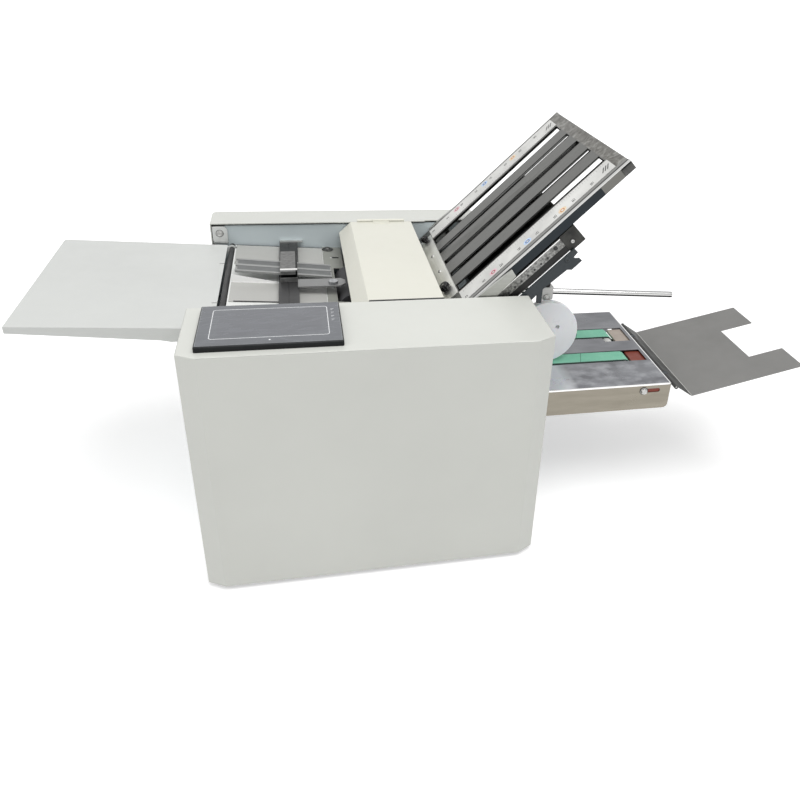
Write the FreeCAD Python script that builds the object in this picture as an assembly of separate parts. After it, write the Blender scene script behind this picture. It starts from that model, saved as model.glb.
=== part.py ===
import FreeCAD, Part
import math
import os

# Desk paper folding machine, in millimetres.
# Building frame: x runs with the paper from the left end of the front cover, y runs back
# from that cover's front face, z runs up from the table. Everything is moved by SHIFT at
# the end, so that the origin lies under the middle of the whole machine.

V = FreeCAD.Vector

# Overall sizes
FOOT = 8.0                 # gap between the table and the covers
LENGTH = 544.4             # both covers, along x
TOP = 428.0                # top of the covers above the table
FRONT_DEPTH = 164.4        # front cover, along y
REAR_Y = 558.0             # front edge of the rear cover
DEPTH = 634.0              # back face of the rear cover
SKIN = 2.0                 # painted cover sheet
SHEET = 1.5                # tables, deck, trays and fold plates
FRONT_FRAME = (154.0, 160.0)
REAR_FRAME = (562.0, 568.0)

# Feed table and deck
TABLE_LEFT = -259.0
TABLE_RIGHT = 33.0
TABLE_Y = (174.0, 549.0)
TABLE_HIGH = 404.0
TABLE_LOW = 386.5
SHAFT_X = 41.0
SHAFT_Z = 380.0
DECK_START = 47.0
DECK_END = 234.0
DECK_Z = 383.0
DECK_DROP = 12.0           # fall of the deck from its left to its right edge
THROAT = (216.5, 254.0)    # steel plate from the deck to the hood

# Rollers
SHAFT_R = 6.0
RUNNING = 0.05             # radial clearance of every turning shaft
FEED_X = 262.0
FEED_Z = 354.0
FEED_R = 26.0
FOLD_R = 17.3
FOLD_AT = [(389.6, 373.2), (413.8, 348.0), (396.3, 317.7), (426.6, 300.2)]
TEETH = 20
PITCH_R = 17.47
MOTOR_AT = (250.0, 130.0)
MOTOR_HALF = 42.0
MOTOR_Y = (30.0, 112.0)
SMALL_PULLEY_R = 16.0
LARGE_PULLEY_R = 24.0

# Fold plates: local s runs up the plate, n stands off its face
PLATE_X = 417.8
PLATE_Z = 387.2
PLATE_TILT = 43.93
PLATE_LONG = 384.2
PLATE_Y = (172.3, 557.4)
SLATS = [(172.3, 235.0), (264.0, 302.0), (320.0, 362.0), (379.0, 419.0), (437.0, 471.0), (502.0, 557.4)]
BACK_SLATS = [(172.3, 262.0), (281.0, 329.0), (335.5, 446.0), (451.5, 498.0), (517.0, 557.4)]
SLOT_LOW = 29.5
SLOT_HIGH = 361.0
SECOND = (50.0, 220.0)     # reach of the shorter plate along s
SECOND_LOW = -50.5         # lower edge of its sides, along n
SECOND_FAR = 516.0         # its far side, along y

# Delivery
BOX_X = (546.0, 837.0)
BOX_Y = (150.3, 464.0)
BOX_Z = (190.0, 243.3)
BELT_Z = 229.9
BELT_R = 11.5
AXLE_R = 3.9
BELT_IN = 11.8
BELT_OUT = 13.8
BELT_LEFT = 572.0
BELT_RIGHT = 783.0
BELTS = [(246.0, 282.0), (345.0, 381.0)]

# Stacking wheel on its rod
ROD_START = (505.0, 303.8)
ROD_END = (857.0, 249.0)
ROD_Z = 380.0
ROD_R = 5.5
WHEEL_X = 617.0
WHEEL_Z = 306.0
WHEEL_R = 62.0
WHEEL_Y = (258.0, 274.0)

# Exit tray
TRAY_Y = (137.5, 404.0)
TRAY_FOLD = (877.5, 220.5)
TRAY_LONG = 231.0
TRAY_RISE = 12.5
EARS = (184.0, 341.0)      # near ends of the two ears that hold the tray's pin
NOTCH_Y = (210.7, 325.5)
NOTCH_S = 159.0
PIN_X = 842.0
PIN_Z = 240.5

BACK = DEPTH + 4.0          # the switch stands out of the back face
RISE = math.radians(TRAY_RISE)
TRAY_END = TRAY_FOLD[0] + TRAY_LONG * math.cos(RISE) + SHEET * math.sin(RISE)
SHIFT = V(-(TABLE_LEFT + TRAY_END) / 2, -BACK / 2, 0)


def box(x0, x1, y0, y1, z0, z1):
    return Part.makeBox(x1 - x0, y1 - y0, z1 - z0, V(x0, y0, z0))


def round_x(y, z, r, x0, x1):
    return Part.makeCylinder(r, x1 - x0, V(x0, y, z), V(1, 0, 0))


def round_y(x, z, r, y0, y1):
    return Part.makeCylinder(r, y1 - y0, V(x, y0, z), V(0, 1, 0))


def round_z(x, y, r, z0, z1):
    return Part.makeCylinder(r, z1 - z0, V(x, y, z0), V(0, 0, 1))


def hexagon(u, v, across, place, line):
    # Hexagonal bar along a line, with its flats "across" apart, drawn in the plane at "place"
    r = across / math.sqrt(3)
    corners = [(u + r * math.cos(math.radians(60 * i + 30)), v + r * math.sin(math.radians(60 * i + 30)))
               for i in range(7)]
    return Part.Face(Part.makePolygon([place(a, b) for a, b in corners])).extrude(line)


def hex_y(x, z, across, y0, y1):
    return hexagon(x, z, across, lambda a, b: V(a, y0, b), V(0, y1 - y0, 0))


def hex_x(y, z, across, x0, x1):
    return hexagon(y, z, across, lambda a, b: V(x0, a, b), V(x1 - x0, 0, 0))


def hex_z(x, y, across, z0, z1):
    return hexagon(x, y, across, lambda a, b: V(a, b, z0), V(0, 0, z1 - z0))


def prism_y(x, z, r, sides, y0, y1):
    # Regular prism along y, for pulleys and for small openings
    points = [(x + r * math.cos(2 * math.pi * i / sides), z + r * math.sin(2 * math.pi * i / sides))
              for i in range(sides)]
    return side_plate(points, y0, y1)


def fluted(x, y, r, z0, z1, lobes=12):
    # Hand knob with a scalloped rim
    points = []
    for i in range(2 * lobes):
        angle = math.pi * i / lobes
        reach = r if i % 2 == 0 else r * 0.9
        points.append((x + reach * math.cos(angle), y + reach * math.sin(angle)))
    return flat_plate(points, z0, z1)


def side_plate(points, y0, y1):
    # A flat outline in x and z, made y0 to y1 thick
    wire = Part.makePolygon([V(x, y0, z) for x, z in points + points[:1]])
    return Part.Face(wire).extrude(V(0, y1 - y0, 0))


def flat_plate(points, z0, z1):
    # A flat outline in x and y, made z0 to z1 thick
    wire = Part.makePolygon([V(x, y, z0) for x, y in points + points[:1]])
    return Part.Face(wire).extrude(V(0, 0, z1 - z0))


def end_plate(points, x0, x1):
    # A flat outline in y and z, made x0 to x1 thick
    wire = Part.makePolygon([V(x0, y, z) for y, z in points + points[:1]])
    return Part.Face(wire).extrude(V(x1 - x0, 0, 0))


def tilted(shape):
    # Places a shape drawn in the fold plate's own frame
    turned = shape.copy()
    turned.rotate(V(0, 0, 0), V(0, 1, 0), -PLATE_TILT)
    turned.translate(V(PLATE_X, 0, PLATE_Z))
    return turned


PIECES = {}


def save(name, *solids):
    # Solids given under one name make one node, as a group of separate solids
    PIECES.setdefault(name, []).extend(solids)


def write_pieces():
    for name, solids in PIECES.items():
        moved = [s.translated(SHIFT) for s in solids]
        shape = moved[0] if len(moved) == 1 else Part.makeCompound(moved)
        shape.exportStep("parts/" + name + ".step")


def fuse(*shapes):
    return shapes[0].multiFuse(list(shapes[1:])).removeSplitter()


def covers():
    # Painted sheet covers, open at the bottom and towards the frames
    outer = flat_plate([(0, 14.5), (27.4, 0), (LENGTH - 27.4, 0), (LENGTH, 14.5),
                        (LENGTH, FRONT_DEPTH), (0, FRONT_DEPTH)], FOOT, TOP)
    folded = [e for e in outer.Edges if e.BoundBox.ZMin > TOP - 0.1 and e.BoundBox.YMin < FRONT_DEPTH - 1]
    outer = outer.makeChamfer(1.0, folded)
    inner = flat_plate([(SKIN, 15.6), (28.1, SKIN), (LENGTH - 28.1, SKIN), (LENGTH - SKIN, 15.6),
                        (LENGTH - SKIN, FRONT_DEPTH + 1), (SKIN, FRONT_DEPTH + 1)], FOOT - 1, TOP - SKIN)
    front = outer.cut(inner)
    lip = box(SKIN, LENGTH - SKIN, FRONT_DEPTH - SKIN, FRONT_DEPTH, TOP - 14, TOP - SKIN)
    front = fuse(front, lip)
    front = front.cut(box(32, 220, 24, 141, TOP - 5, TOP + 1))
    save("cover_front", front)

    outer = box(SKIN, LENGTH, REAR_Y, DEPTH, FOOT, TOP)
    corners = [e for e in outer.Edges if e.BoundBox.ZLength > 100 and e.BoundBox.YMin > DEPTH - 1]
    outer = outer.makeFillet(10, corners)
    folded = [e for e in outer.Edges if e.BoundBox.ZMin > TOP - 0.1 and e.BoundBox.YMax > REAR_Y + 1]
    outer = outer.makeChamfer(1.0, folded)
    inner = box(SKIN + 2, LENGTH - 2, REAR_Y - 1, DEPTH - 2, FOOT - 1, TOP - SKIN)
    ends = [e for e in inner.Edges if e.BoundBox.ZLength > 100 and e.BoundBox.YMin > DEPTH - 3]
    inner = inner.makeFillet(8, ends)
    rear = outer.cut(inner)
    rear = rear.cut(box(430, LENGTH + 1, REAR_Y - 1, REAR_FRAME[0] + 0.5, 398, TOP + 1))
    rear = rear.cut(box(60, 88, DEPTH - 4, DEPTH + 1, 50, 78))
    rear = rear.cut(box(100, 120, DEPTH - 4, DEPTH + 1, 51, 77))
    save("cover_rear", rear)

    screws = []
    for x in (40, 272, 504):
        for z in (30, 400):
            screws.append(hex_y(x, z, 8, DEPTH, DEPTH + 2.4))
    save("fasteners", *screws)


def frames():
    # Steel side frames that carry every shaft, with the ties between them
    low = FOOT + 4
    outline = [(8, low), (534, low), (534, 416), (500, 422), (30, 422), (8, 400)]
    for name, (y0, y1) in (("frame_front", FRONT_FRAME), ("frame_rear", REAR_FRAME)):
        plate = side_plate(outline, y0, y1)
        for x, z in [(FEED_X, FEED_Z)] + FOLD_AT:
            plate = plate.cut(round_y(x, z, SHAFT_R + RUNNING, y0 - 1, y1 + 1))
        save(name, plate)

    ties = []
    for x, z in ((30, 40), (30, 320), (300, 60), (505, 60)):
        ties.append(hex_y(x, z, 16, FRONT_FRAME[1], REAR_FRAME[0]))
    save("cross_ties", *ties)

    floor = box(10, 532, 30, 610, FOOT, FOOT + 4)
    left = box(10, 12, FRONT_FRAME[1], REAR_FRAME[0], FOOT + 4, 366)
    right = box(530, 532, FRONT_FRAME[1], REAR_FRAME[0], FOOT + 4, 190)
    save("base_plate", fuse(floor, left, right))
    feet = []
    for x in (60, 484):
        for y in (60, 580):
            pad = box(x - 17, x + 17, y - 17, y + 17, 0, FOOT)
            feet.append(pad.makeChamfer(2.0, [e for e in pad.Edges if e.BoundBox.ZMax < 0.1]))
    save("feet", *feet)

    end = box(534, 540, FRONT_FRAME[0], REAR_FRAME[1], 160, 250)
    end = fuse(end, box(540, BOX_X[0], 170, 456, 190, 236))
    end = end.cut(box(533, 547, 200, 430, 172, 186))
    save("inner_brackets", end)
    save("cross_ties", box(495, 515, FRONT_FRAME[1], REAR_FRAME[0], 345, 363))


def touch_unit():
    # Dark bezel with a recessed screen, let into the front cover's top
    x0, x1, y0, y1 = 24.3, 228.3, 15.6, 149.2
    body = box(x0, x1, y0, y1, TOP, TOP + 8.7)
    edges = [e for e in body.Edges if e.BoundBox.ZMin > TOP + 8 or e.BoundBox.ZLength > 5]
    body = body.makeChamfer(1.4, edges)
    body = fuse(body, box(33, 219, 25, 140, TOP - 28, TOP))
    body = body.cut(box(43.5, 208.5, 37.5, 132.5, TOP + 6.9, TOP + 10))
    save("touch_bezel", body)
    save("touch_screen", box(43.5, 208.5, 37.5, 132.5, TOP + 6.9, TOP + 8.2))


def table_height(x):
    return TABLE_HIGH + (TABLE_LOW - TABLE_HIGH) * (x - TABLE_LEFT) / (TABLE_RIGHT - TABLE_LEFT)


def deck_height(x):
    return DECK_Z - DECK_DROP * (x - DECK_START) / (DECK_END - DECK_START)


def feed_table():
    # Bent sheet with side flanges that deepen towards the machine, on two hinge ears
    y0, y1 = TABLE_Y
    left = (TABLE_LEFT, TABLE_HIGH)
    right = (TABLE_RIGHT, TABLE_LOW)
    top = side_plate([left, right, (right[0], right[1] - SHEET), (left[0], left[1] - SHEET)], y0, y1)
    flange = [left, (TABLE_RIGHT - 6, table_height(TABLE_RIGHT - 6)), (TABLE_RIGHT - 6, 367),
              (-30, 366.5), (-45, 370), (TABLE_LEFT, 393)]
    front = side_plate(flange, y0, y0 + SHEET)
    back = side_plate(flange, y1 - SHEET, y1)
    end = box(TABLE_LEFT, TABLE_LEFT + SHEET, y0, y1, 393, 403)
    table = fuse(top, front, back, end)
    for a, b in ((270, 273), (448, 451)):
        table = table.cut(box(24, 40, a, b, 370, 400))
    for a in (y0 + 3, y1 - 7):
        tip = SHAFT_X + 8
        ear = [(10, 386), (28, 386), (28, SHAFT_Z + 3), (SHAFT_X, SHAFT_Z + 8), (tip - 3, SHAFT_Z + 6),
               (tip, SHAFT_Z), (tip - 3, SHAFT_Z - 6), (SHAFT_X, SHAFT_Z - 8), (10, SHAFT_Z - 8)]
        table = table.fuse(side_plate(ear, a, a + 4))
    table = table.cut(round_y(SHAFT_X, SHAFT_Z, 5 + RUNNING, y0, y1)).removeSplitter()
    save("feed_table", table)
    save("cross_bar", round_y(SHAFT_X, SHAFT_Z, 5, FRONT_FRAME[1], REAR_FRAME[0]))

    brackets = []
    bolts = []
    for y, t, top in ((REAR_FRAME[0] - 5, 5, 422), (FRONT_FRAME[1], 5, 413)):
        plate = box(5.6, 34, y, y + t, 387, top)
        upper = [e for e in plate.Edges if e.BoundBox.YLength > 4 and e.BoundBox.ZMin > top - 1]
        brackets.append(plate.makeFillet(9, [e for e in upper if e.BoundBox.XMin > 33]))
        head = y - 4 if y > 300 else y + t
        bolts.append(hex_y(19, top - 14, 11, head, head + 4))
    save("wall_brackets", *brackets)
    save("fasteners", *bolts)


def deck():
    # Sloping deck with two sliding paper guides on it
    z0, z1 = DECK_Z, DECK_Z - DECK_DROP
    outline = [(DECK_START, z0), (DECK_END, z1), (DECK_END, z1 - 14), (DECK_END - SHEET, z1 - 14),
               (DECK_END - SHEET, z1 - SHEET), (DECK_START + SHEET, z0 - SHEET),
               (DECK_START + SHEET, z0 - 16), (DECK_START, z0 - 16)]
    plate = side_plate(outline, FRONT_FRAME[1], REAR_FRAME[0])
    for y in (TABLE_Y[0], TABLE_Y[1] - 10):
        plate = plate.cut(box(DECK_START - 1, 53, y, y + 11, 350, 390))
    a, b = THROAT
    throat = side_plate([(a, deck_height(a)), (b, deck_height(b)), (b, deck_height(b) + SHEET),
                         (a, deck_height(a) + SHEET)], FRONT_FRAME[1], REAR_FRAME[0])
    throat = throat.cut(box(DECK_END, b + 1, 290, 447, 360, 380))
    save("throat_plate", throat.cut(box(230, 247, 500, 508, 360, 380)))
    save("fasteners", hex_z(227, 547, 9, deck_height(221) + SHEET, deck_height(221) + 6.5))

    plate = plate.cut(box(DECK_START + 6, THROAT[0], REAR_FRAME[0] - 1.8, REAR_FRAME[0] + 1, 360, 390))
    save("deck", plate)

    for name, y0, y1, lip, rise in (("guide_front", 282, 366, 366, 16), ("guide_rear", 455, 552, 455, 6)):
        a, b = 50, 215
        up = 0.3
        flat = side_plate([(a, deck_height(a) + up), (b, deck_height(b) + up),
                           (b, deck_height(b) + up + 1.2), (a, deck_height(a) + up + 1.2)], y0, y1)
        shape = flat
        inner = lip - 1.2 if lip == y1 else lip
        for c, d, high, low in ((52, 128, rise, 4), (174, 213, 6, 6)):
            wall = side_plate([(c, deck_height(c) + 1), (d, deck_height(d) + 1),
                               (d, deck_height(d) + low), (c, deck_height(c) + high)], inner, inner + 1.2)
            shape = shape.fuse(wall)
        save(name, shape.removeSplitter())


def hold_down():
    # Cross bar, and the clamp that slides on it with the hold-down rail and gap arm
    bar = box(133, 168, FRONT_FRAME[1], REAR_FRAME[0], 383, 388)
    bar = bar.cut(box(149.5, 151, FRONT_FRAME[1] + 6, REAR_FRAME[0] - 20, 387, 389))
    save("cross_bar", bar)
    save("wall_brackets", box(134, 178, 553, REAR_FRAME[0], 388, 390.5),
         box(134, 167, FRONT_FRAME[1], 168, 388, 390.5))

    def rail_height(x):
        return 404 - 18 * (x - 57) / 171

    a, b = 57, 228
    rail = side_plate([(a, rail_height(a)), (b, rail_height(b)), (b, rail_height(b) - 4),
                       (a, rail_height(a) - 4)], 372, 432)
    strips = []
    for y0, y1 in ((378, 398), (406, 426)):
        groove = side_plate([(a - 1, rail_height(a) + 1), (b + 1, rail_height(b) + 1),
                             (b + 1, rail_height(b) - 2), (a - 1, rail_height(a) - 2)], y0, y1)
        rail = rail.cut(groove)
        strip = side_plate([(a + 4, rail_height(a) - 1), (b - 2, rail_height(b) - 0.6),
                            (b - 2, rail_height(b) - 1.8), (a + 4, rail_height(a) - 2.2)], y0, y1)
        strips.append(strip.cut(rail))
    save("hold_rail", rail)
    save("rail_strips", *strips)

    block = box(136, 166, 345, 450, 388.3, 408)
    under_rail = side_plate([(130, rail_height(130)), (172, rail_height(172)), (172, 380), (130, 380)],
                            368, 436)
    block = block.cut(under_rail)
    block = block.cut(box(130, 170, 340, 349, 401, 410))
    block = block.cut(box(130, 170, 340, 357, 397, 401))
    save("clamp_block", block)

    arm = flat_plate([(166, 318), (240, 318), (250, 328), (250, 343), (242, 352), (166, 352)], 388.3, 391.3)
    save("hold_rail", arm.cut(round_z(228, 329, 3 + RUNNING, 380, 400)))
    save("gap_screw", fuse(fluted(228, 329, 8.5, 391.6, 396, 16), round_z(228, 329, 3, 382, 391.6)))


def gear(x, z, phase, y0, y1):
    # Spur gear with straight-flanked teeth
    tip, root = PITCH_R + 1.4, PITCH_R - 2.0
    step = 2 * math.pi / TEETH
    points = []
    for i in range(TEETH):
        middle = phase + i * step
        for part, r in ((-0.29, root), (-0.11, tip), (0.11, tip), (0.29, root)):
            angle = middle + part * step
            points.append((x + r * math.cos(angle), z + r * math.sin(angle)))
    return side_plate(points, y0, y1)


def next_phase(first, second, phase):
    # Turns the second gear so that its gap meets the first gear's tooth
    step = 2 * math.pi / TEETH
    line = math.atan2(second[1] - first[1], second[0] - first[0])
    off = (phase - line + step / 2) % step - step / 2
    return line + math.pi - off + step / 2


def rollers():
    # Feed roller and the four fold rollers, geared together in front of the frame
    y0, y1 = FRONT_FRAME[1] + 4, REAR_FRAME[0] - 4
    back = REAR_FRAME[1] + 4
    drum = prism_y(FEED_X, FEED_Z, 24, 30, 126, 146)
    sleeve = round_y(FEED_X, FEED_Z, FEED_R, 300, 436)
    save("feed_core", fuse(round_y(FEED_X, FEED_Z, SHAFT_R, 126, back), drum, sleeve))

    phase = 0.0
    for i, (x, z) in enumerate(FOLD_AT):
        if i:
            phase = next_phase(FOLD_AT[i - 1], FOLD_AT[i], phase)
        roller = fuse(round_y(x, z, SHAFT_R, 121 if i == 1 else 138, back), round_y(x, z, FOLD_R, y0, y1),
                      gear(x, z, phase, 138, 148))
        if i == 1:
            roller = fuse(roller, prism_y(x, z, LARGE_PULLEY_R, 30, 121, 132))
        save("fold_roller_%d" % (i + 1), roller)


def belt_loop(ends, radius_in, radius_out, y0, y1):
    # Flat belt round two pulleys of equal or different radius
    (xa, za, ra), (xb, zb, rb) = ends
    span = math.hypot(xb - xa, zb - za)
    along = math.atan2(zb - za, xb - xa)

    def ring(extra):
        a, b = ra + extra, rb + extra
        lean = math.acos((a - b) / span)
        up = [(xa + a * math.cos(along + s * lean), za + a * math.sin(along + s * lean)) for s in (1, -1)]
        down = [(xb + b * math.cos(along + s * lean), zb + b * math.sin(along + s * lean)) for s in (1, -1)]
        body = side_plate([up[0], down[0], down[1], up[1]], y0, y1)
        return fuse(body, round_y(xa, za, a, y0, y1), round_y(xb, zb, b, y0, y1))

    return ring(radius_out).cut(ring(radius_in))


def drive():
    # Motor, pulleys and drive belt inside the front cover
    mx, mz = MOTOR_AT
    a, b = mx - MOTOR_HALF, mx + MOTOR_HALF
    low, high = mz - MOTOR_HALF, mz + MOTOR_HALF
    motor = box(a, b, *MOTOR_Y, low, high)
    motor = motor.makeChamfer(8, [e for e in motor.Edges if e.BoundBox.YLength > 50])
    motor = motor.cut(round_y(mx, mz, SHAFT_R + RUNNING, 50, 120))
    save("motor_body", motor)
    shaft = fuse(round_y(mx, mz, SHAFT_R, 51, 132), prism_y(mx, mz, SMALL_PULLEY_R, 20, 121, 132))
    save("motor_pulley", shaft)
    rx, rz = FOLD_AT[1]
    ends = [(mx, mz, SMALL_PULLEY_R), (rx, rz, LARGE_PULLEY_R)]
    save("drive_belt", belt_loop(ends, 0.3, 2.5, 122, 131))
    foot = box(a, b, MOTOR_Y[0], FRONT_FRAME[0], low - 6, low)
    foot = fuse(foot, box(a, b, MOTOR_Y[1], MOTOR_Y[1] + 4, low - 6, mz + 20),
                box(a, b, FRONT_FRAME[0] - 6, FRONT_FRAME[0], mz - 70, mz - 20))
    foot = foot.cut(box(mx - 17, mx + 17, 110, 118, mz - 17, mz + 21))
    save("inner_brackets", foot)


def top_cover():
    # Hood between the covers, hinged at the back
    t = SHEET
    y0, y1 = 166.0, 557.0
    outer = [(252, 405.5), (276, TOP), (400, TOP), (400, 398)]
    inner = [(400 - t, 398), (400 - t, TOP - t), (276 + 0.7, TOP - t), (252 + 1.6, 405.5)]
    hood = side_plate(outer + inner, y0, y1)
    for y in (y0, y1 - t):
        hood = hood.fuse(side_plate([(256, 409), (276, TOP - 0.2), (400 - 0.2, TOP - 0.2), (400 - 0.2, 410),
                                     (390, 407), (262, 407)], y, y + t))
    pin_z = TOP + 2.4

    def knuckle(a, b):
        # Octagonal, and small enough to turn clear of the rear cover
        angles = [math.radians(45 * i + 22.5) for i in range(8)]
        return end_plate([(REAR_Y + 2.3 * math.cos(i), pin_z + 2.3 * math.sin(i)) for i in angles], a, b)

    hood = hood.fuse(fuse(knuckle(321, 355), box(321, 355, 546, REAR_Y, TOP, TOP + 1.2)))
    save("top_cover", hood.cut(round_x(REAR_Y, pin_z, 1 + RUNNING, 320, 356)).removeSplitter())
    save("hood_hinge", fuse(box(290, 386, REAR_Y + 2.6, 572, TOP, TOP + 1.0), knuckle(290, 320.6),
                            knuckle(355.4, 386), round_x(REAR_Y, pin_z, 1, 320, 356),
                            box(290, 320.6, REAR_Y, 564, TOP + 0.2, TOP + 1.0),
                            box(355.4, 386, REAR_Y, 564, TOP + 0.2, TOP + 1.0)))


def fold_plates():
    # Long upper plate: two layers of slats with end strips and side rails
    y0, y1 = PLATE_Y
    inner0, inner1 = y0 + SHEET, y1 - SHEET
    for name, slats, start, face in (("plate1_face", SLATS, 0, 0), ("plate1_back", BACK_SLATS, 8, -10)):
        for a, b in slats:
            save(name, tilted(box(SLOT_LOW, SLOT_HIGH, max(a, inner0), min(b, inner1), face - SHEET, face)))
        for low, high in ((start, SLOT_LOW), (SLOT_HIGH, PLATE_LONG)):
            save(name, tilted(box(low, high, inner0, inner1, face - SHEET, face)))
    rails = []
    for a in (y0, y1 - 1.5):
        rail = box(0, PLATE_LONG + 1, a, a + 1.5, -17, 0)
        cap = box(PLATE_LONG, PLATE_LONG + 1, min(a, y1 - 9), min(a, y1 - 9) + 9, -17, 0)
        rails.append(tilted(fuse(rail, cap)))
    save("plate1_rails", *rails)
    for a, b in ((507, 549), (191, 232)):
        save("plate1_scales", tilted(box(SLOT_LOW, 363.5, a, b, 0, 0.6)))

    save("plate1_bar", tilted(box(-2, 28.5, 232, 524, 0, 3)))
    save("fasteners", tilted(hex_z(13.7, 428, 6, 3, 5.5)), tilted(hex_z(14, 350, 6, 3, 5.5)))
    for name, s, y, r in (("lock_knob_rear", 15.6, 510, 7.5), ("lock_knob_front", 12.3, 271, 10)):
        knob = fuse(fluted(s, y, r, 5, 12.5), fluted(s, y, r - 2.5, 12.5, 15), fluted(s, y, r - 3, 3.3, 5))
        save(name, tilted(knob))

    stop = fuse(box(366, 374, y0 + 4, y1 - 4, -9.2, -2.2), box(365, 376, y0 + 4, y0 + 12, -9.2, -2.2))
    save("plate1_stop", tilted(stop))
    save("plate1_stop", tilted(box(364, 384, y0 - 3.2, y0 - 0.3, -15, -3)))

    s0, s1 = SECOND
    y1 = SECOND_FAR
    inner1 = y1 - SHEET
    sheet = box(s0, s1, inner0, inner1, -21.5, -20)
    for a, b in ((264, 302), (379, 419)):
        sheet = sheet.cut(box(s0 + 30, s1 - 24, a, b, -23, -19))
    save("plate2_sheets", tilted(sheet))
    save("plate2_sheets", tilted(box(s0, s1, inner0, inner1, -31.5, -30)))
    for a in (y0, inner1):
        save("dark_brackets", tilted(box(s0, s1, a, a + SHEET, SECOND_LOW + 1.3, -20)))
        save("plate2_sheets", tilted(box(s0, s1, a, a + SHEET, SECOND_LOW, SECOND_LOW + 1.3)))
    save("plate2_ruler", tilted(box(s0 + 4, s1 - 0.5, y0 - 0.8, y0, -37.5, -21)))
    save("fasteners", tilted(hex_y(204.5, -29, 7, y0 - 3.5, y0 - 0.8)))
    save("plate2_stop", tilted(box(204, 212, y0 + 4, y1 - 4, -29.3, -22.2)))
    end = box(s1, s1 + 32, y0, y1, -54, -19)
    end = end.cut(box(s1 - 1, s1 + 30, y0 + 2, y1 - 2, -55, -21))
    save("dark_brackets", tilted(end))
    save("fasteners", tilted(hex_y(233.2, -40.7, 6, y0 - 2, y0)))


def plate_brackets():
    # Dark hooked brackets and pale cheeks that carry both plates on the frames
    hook = [(617.2, 508.4), (624.2, 501.8), (617.2, 492.3), (622.5, 490.5), (628.7, 490.9), (633.3, 486.7),
            (616.9, 470.6), (608.7, 470.8), (569.4, 436.5), (568.9, 411), (560.5, 411), (560, 427),
            (540, 405), (520, 372), (489, 372), (489.2, 385.2)]
    cheek = [(440, 410), (456, 426.5), (512.3, 474.1), (520.4, 462), (499.3, 437.8), (484, 420),
             (484, 380), (440, 380)]
    brackets, cheeks, posts = [], [], []
    for y0, y1 in ((167.5, 171.5), (558.0, 562.0)):
        brackets.append(side_plate(hook, y0, y1))
        cheeks.append(side_plate(cheek, y0, y1))
    save("dark_brackets", *brackets)
    save("cheek_plates", *cheeks)
    for x, z in ((500, 380), (520, 392), (450, 395), (476, 395)):
        posts.append(hex_y(x, z, 10, FRONT_FRAME[1], 167.5))
    save("cross_ties", *posts)
    pins = []
    for y0, y1 in ((171.5, PLATE_Y[0]), (PLATE_Y[1], 558.0)):
        pins.append(hex_y(486, 441, 9, y0, y1))
    save("cross_ties", *pins)
    for s, n in ((56, -28), (150, SECOND_LOW)):
        save("cross_ties", tilted(hex_y(s, n, 9, SECOND_FAR, 558.0)))


def stacking_rod():
    # Swinging rod with a sliding carriage that hangs the white wheel over the belt
    px, py = ROD_START
    save("cross_ties", fuse(round_z(px, py, 8, 363, 394), hex_z(px, py, 19, 391.3, 394)))
    dx, dy = ROD_END[0] - px, ROD_END[1] - py
    long = math.hypot(dx, dy)
    way = V(dx / long, dy / long, 0)
    holder = box(px - 13, px + 16, py - 12, py + 12, 369, 391)
    holder = holder.cut(round_z(px, py, 8 + RUNNING, 360, 395))
    rod = Part.makeCylinder(ROD_R, long - 10, V(px, py, ROD_Z) + way * 10, way)
    holder = holder.cut(rod)
    save("stack_rod", holder)
    rod = rod.cut(round_z(px, py, 8 + RUNNING, 360, 395))
    save("stack_rod", rod)

    yc = py + dy * (WHEEL_X - px) / dx
    block = box(WHEEL_X - 13, WHEEL_X + 13, yc - 9, yc + 11, 366, 390)
    corners = [e for e in block.Edges if e.BoundBox.ZLength > 20]
    block = block.makeChamfer(3, corners)
    bore = Part.makeCylinder(ROD_R + RUNNING, 80, V(WHEEL_X, yc, ROD_Z) - way * 40, way)
    block = block.cut(bore)
    pin = round_y(WHEEL_X, 371, 3, WHEEL_Y[1] + 0.6, yc - 9)
    save("wheel_carriage", block.fuse(pin).removeSplitter())
    save("carriage_screw", fluted(WHEEL_X, yc, 8, 390.3, 401))

    a, b = WHEEL_Y[1] + 0.8, WHEEL_Y[1] + 3.3
    arm = side_plate([(WHEEL_X - 6, WHEEL_Z - 3), (WHEEL_X - 3, WHEEL_Z - 6), (WHEEL_X + 3, WHEEL_Z - 6),
                      (WHEEL_X + 6, WHEEL_Z - 3), (WHEEL_X + 6, 374), (WHEEL_X + 3, 377),
                      (WHEEL_X - 3, 377), (WHEEL_X - 6, 374)], a, b)
    arm = fuse(arm, round_y(WHEEL_X, WHEEL_Z, 4, WHEEL_Y[0] - 2, a),
               hex_y(WHEEL_X, WHEEL_Z, 11, WHEEL_Y[0] - 4, WHEEL_Y[0] - 1))
    save("wheel_arm", arm.cut(round_y(WHEEL_X, 371, 3 + RUNNING, a - 1, b + 1)))
    wheel = round_y(WHEEL_X, WHEEL_Z, WHEEL_R, *WHEEL_Y)
    for i in range(4):
        angle = math.radians(90 * i + 27)
        wheel = wheel.cut(prism_y(WHEEL_X + 24 * math.cos(angle), WHEEL_Z + 24 * math.sin(angle), 4, 8,
                                  WHEEL_Y[0] - 1, WHEEL_Y[1] + 1))
    save("press_wheel", wheel.cut(round_y(WHEEL_X, WHEEL_Z, 4 + RUNNING, WHEEL_Y[0] - 1, WHEEL_Y[1] + 1)))


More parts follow.
